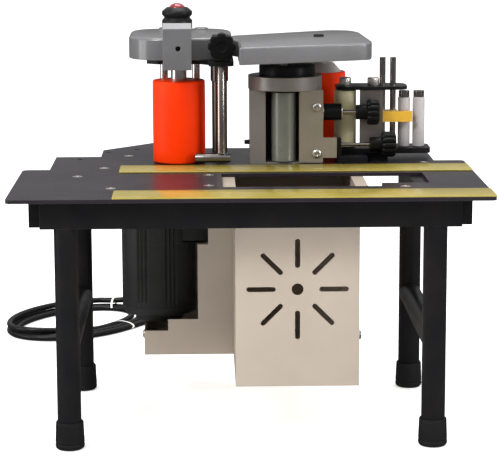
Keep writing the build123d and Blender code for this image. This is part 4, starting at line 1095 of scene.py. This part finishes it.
@dataclass
class HoldDown:
    """Rod, foot bar and star knob."""

    def build(self) -> None:
        """Turn the rod, the bar and the lobed knob."""
        rod = Span.of("hold_down_rod")
        bar = Span.of("foot_bar")
        x, y = rod.mid[0], rod.mid[1]
        low, high = bar.mid[2], rod.high[2]
        neck = bar.high[2]
        profile = [(0, low), (3.4, low), (3.4, neck), (4.6, neck - 0.3), (5, neck + 0.3), (5, high - 0.8),
                   (4.7, high - 0.2), (4.2, high), (0, high)]
        fitted(turned("ground_hold_down_rod", profile, (x, y)), GROUND_STEEL, "hold_down", "hold_down_rod")
        r = bar.size[1] / 2
        x0, x1 = bar.low[0], bar.high[0]
        ends = [(0, x0), (r - 0.9, x0), (r - 0.25, x0 + 0.25), (r, x0 + 0.9), (r, x1 - 0.9),
                (r - 0.25, x1 - 0.25), (r - 0.9, x1), (0, x1)]
        made = turned("turned_foot_bar", ends, (bar.mid[1], bar.mid[2]), Along.X)
        fitted(made, BAR_STEEL, "hold_down", "foot_bar")
        knob = Span.of("star_knob")
        front, back = knob.low[1], knob.high[1]
        at = (knob.mid[2], knob.mid[0])
        rows = [(0, front + 1.2), (4.6, front + 1.2), (5.4, front + 0.2), (10.8, front), (13.0, front + 0.5),
                (14.1, front + 1.8), (14.4, front + 4), (14.3, front + 7.5), (13.2, front + 9.2),
                (10.6, front + 10), (0, front + 10)]
        head = turned("knob_head", rows, at, Along.Y, 168, 8, 0.085)
        rows = [(0, front + 9), (7, front + 9), (7, front + 15.2), (6.6, front + 15.5), (3, front + 15.5),
                (3, back), (0, back)]
        stem = turned("knob_stem", rows, at, Along.Y)
        fitted(joined("star_grip_knob", [head, stem]), KNOB, "knob", "star_knob")


@dataclass
class GluePot:
    """Heated pot, lid, front plate, adjusting collar and glue roller."""

    pointer_z: tuple[float, float] = (292.0, 297.0)

    def build(self) -> None:
        """Turn the lid and the collar's washers, mould the pointer and dress the rest."""
        dressed(HOT_STEEL, "glue_pot")
        dressed(TAB_STEEL, "pot_front_plate")
        dressed(KNOB, "screw_collar")
        collar = Span.of("screw_collar")
        rings = []
        for n, x in enumerate((collar.low[0] + 0.4, collar.high[0])):
            rows = [(2.9, x), (9.3, x), (9.8, x + 0.4), (9.8, x + 1.4), (9.3, x + 1.8), (2.9, x + 1.8)]
            rings.append(turned(f"ring_{n}", rows, (collar.mid[1], collar.mid[2]), Along.X, 64, loop=True))
        fitted(joined("collar_washers", rings), ZINC_SCREW, "base")
        side = Span.of("glue_pot").low[0]
        tip = [(side + 2, 33, 0.3), (side - 5, 34.5, 0.6), (side - 5, 36.5, 0.6), (side + 2, 39, 0.3)]
        fitted(moulded("pot_pointer", tip, *self.pointer_z, 0.5), PLATE_COAT, "base")
        dressed(SHEATH, "glue_heater")
        lid = Span.of("pot_lid")
        r = lid.size[0] / 2
        low, high = lid.low[2], lid.high[2]
        profile = [(5.1, low), (r - 0.6, low), (r, low + 0.6), (r, high - 1.6), (r - 0.5, high - 0.5),
                   (r - 1.6, high), (5.6, high), (5.1, high - 0.5)]
        made = turned("turned_pot_lid", profile, (lid.mid[0], lid.mid[1]), sides=96, loop=True)
        fitted(made, PLATE_COAT, "base", "pot_lid")
        dressed(GLUE_STEEL, "glue_roller")


@dataclass
class TapeFeed:
    """Tape guide plates, rollers, rods, clamp and screws."""

    nut_h: float = 9.5
    rear_nut: tuple[float, float] = (147.0, 65.0)
    plate_reach: float = 14.0

    def roller(self, name: str, node: str, body: str, bore: float, finish: Finish, edge: float) -> None:
        """Turn a plain roller with eased ends.

        Args:
            name: Name of the roller.
            node: Node that it replaces.
            body: Body that it turns with.
            bore: Radius of its bore.
            finish: Its finish.
            edge: Radius of its end edges.
        """
        s = Span.of(node)
        r = s.size[0] / 2
        low, high = s.low[2], s.high[2]
        angle = np.linspace(0, pi / 2, 5)
        bottom = [(r - edge + edge * sin(a), low + edge - edge * cos(a)) for a in angle]
        top = [(r - edge + edge * cos(a), high - edge + edge * sin(a)) for a in angle]
        profile = [(bore, low + 0.4), (bore + 0.4, low), *bottom, *top, (bore + 0.4, high),
                   (bore, high - 0.4)]
        fitted(turned(name, profile, (s.mid[0], s.mid[1]), loop=True), finish, body, node)

    def grip(self, name: str, node: str, body: str, rod: float, start: float, cap: float) -> None:
        """Turn an adjusting screw with a ridged head.

        Args:
            name: Name of the screw.
            node: Node that it replaces.
            body: Body that it turns with.
            rod: Radius of its rod.
            start: Where its hub begins along X.
            cap: Length of its ridged head.
        """
        s = Span.of(node)
        x0, x1 = s.low[0], s.high[0]
        head = x1 - cap
        at = (s.mid[1], s.mid[2])
        rows = [(0, x0), (rod - 0.4, x0), (rod, x0 + 0.5), (rod, start + 1), (0, start + 1)]
        shank = turned(f"{name}_rod", rows, at, Along.X)
        rows = [(0, start), (7.6, start), (8.4, start + 0.8), (8.4, head + 0.5), (0, head + 0.5)]
        hub = turned("hub", rows, at, Along.X)
        rows = [(0, head), (9.5, head), (12.4, head + 0.6), (13.4, head + 2.4), (13.6, head + 5),
                (13.5, x1 - 4), (12.6, x1 - 1.4), (10.4, x1 - 0.3), (7.2, x1), (6.2, x1 - 0.9), (0, x1 - 1.1)]
        grip = turned("grip", rows, at, Along.X, 168, 12, 0.08)
        fitted(joined(name, [hub, grip]), KNOB, body, node)
        fitted(shank, GROUND_STEEL, body)

    def build(self) -> None:
        """Make every piece of the tape feed."""
        dressed(PLATE_COAT, "tape_base")
        dressed(GROUND_STEEL, "tape_rods")
        dressed(GUIDE_STEEL, "guide_plate")
        self.top_plate()
        self.roller("cast_pinch_roller", "pinch_roller", "pinch", 4.05, PINCH, 1.2)
        self.roller("turned_left_guide", "left_guide_roller", "left_guide", 3.05, NYLON, 0.8)
        self.roller("turned_right_guide", "right_guide_roller", "right_guide", 3.05, NYLON, 0.8)
        self.grip("ridged_pressure_screw", "pressure_screw", "pressure", 2.7, 125.0, 15.0)
        self.grip("ridged_height_screw", "height_screw", "height", 2.0, 141.0, 17.0)
        dressed(AMBER, "yellow_clamp")

    def top_plate(self) -> None:
        """Mould the rounded top plate and turn its two knurled nuts."""
        s = Span.of("tape_top_plate")
        top = s.high[2] - self.nut_h
        corners = oblong(*s.low[:2], *s.high[:2], self.plate_reach)
        made = moulded("rounded_top_plate", corners, s.low[2], top, 0.6, steps=11)
        fitted(made, PLATE_COAT, "base", "tape_top_plate")
        pinch = Span.of("pinch_roller")
        rows = [(0, top), (6.2, top), (6.6, top + 0.4), (6.7, top + 1.4), (6.7, top + 7.6), (6.3, top + 8.8),
                (5.2, top + 9.4), (2.2, top + 9.4), (1.9, top + 8.9), (0, top + 8.9)]
        places = ((pinch.mid[0], pinch.mid[1]), self.rear_nut)
        nuts = [turned(f"nut_{n}", rows, at, sides=120, lobes=30, swell=0.012) for n, at in enumerate(places)]
        fitted(joined("knurled_top_nuts", nuts), ZINC_SCREW, "base")


def main() -> None:
    """Build the machine piece by piece."""
    logging.basicConfig(level=logging.INFO, format="%(name)s %(message)s")
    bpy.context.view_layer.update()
    Studio().camera()
    for part in (Lead(), Studio(), Stand(), Table(), Fasteners(), Enclosures(), Motor(), Rollers(), Head(),
                 StartButton(), HoldDown(), GluePot(), TapeFeed()):
        part.build()
        LOG.info("finished %s", type(part).__name__)


if __name__ == "__main__":
    main()
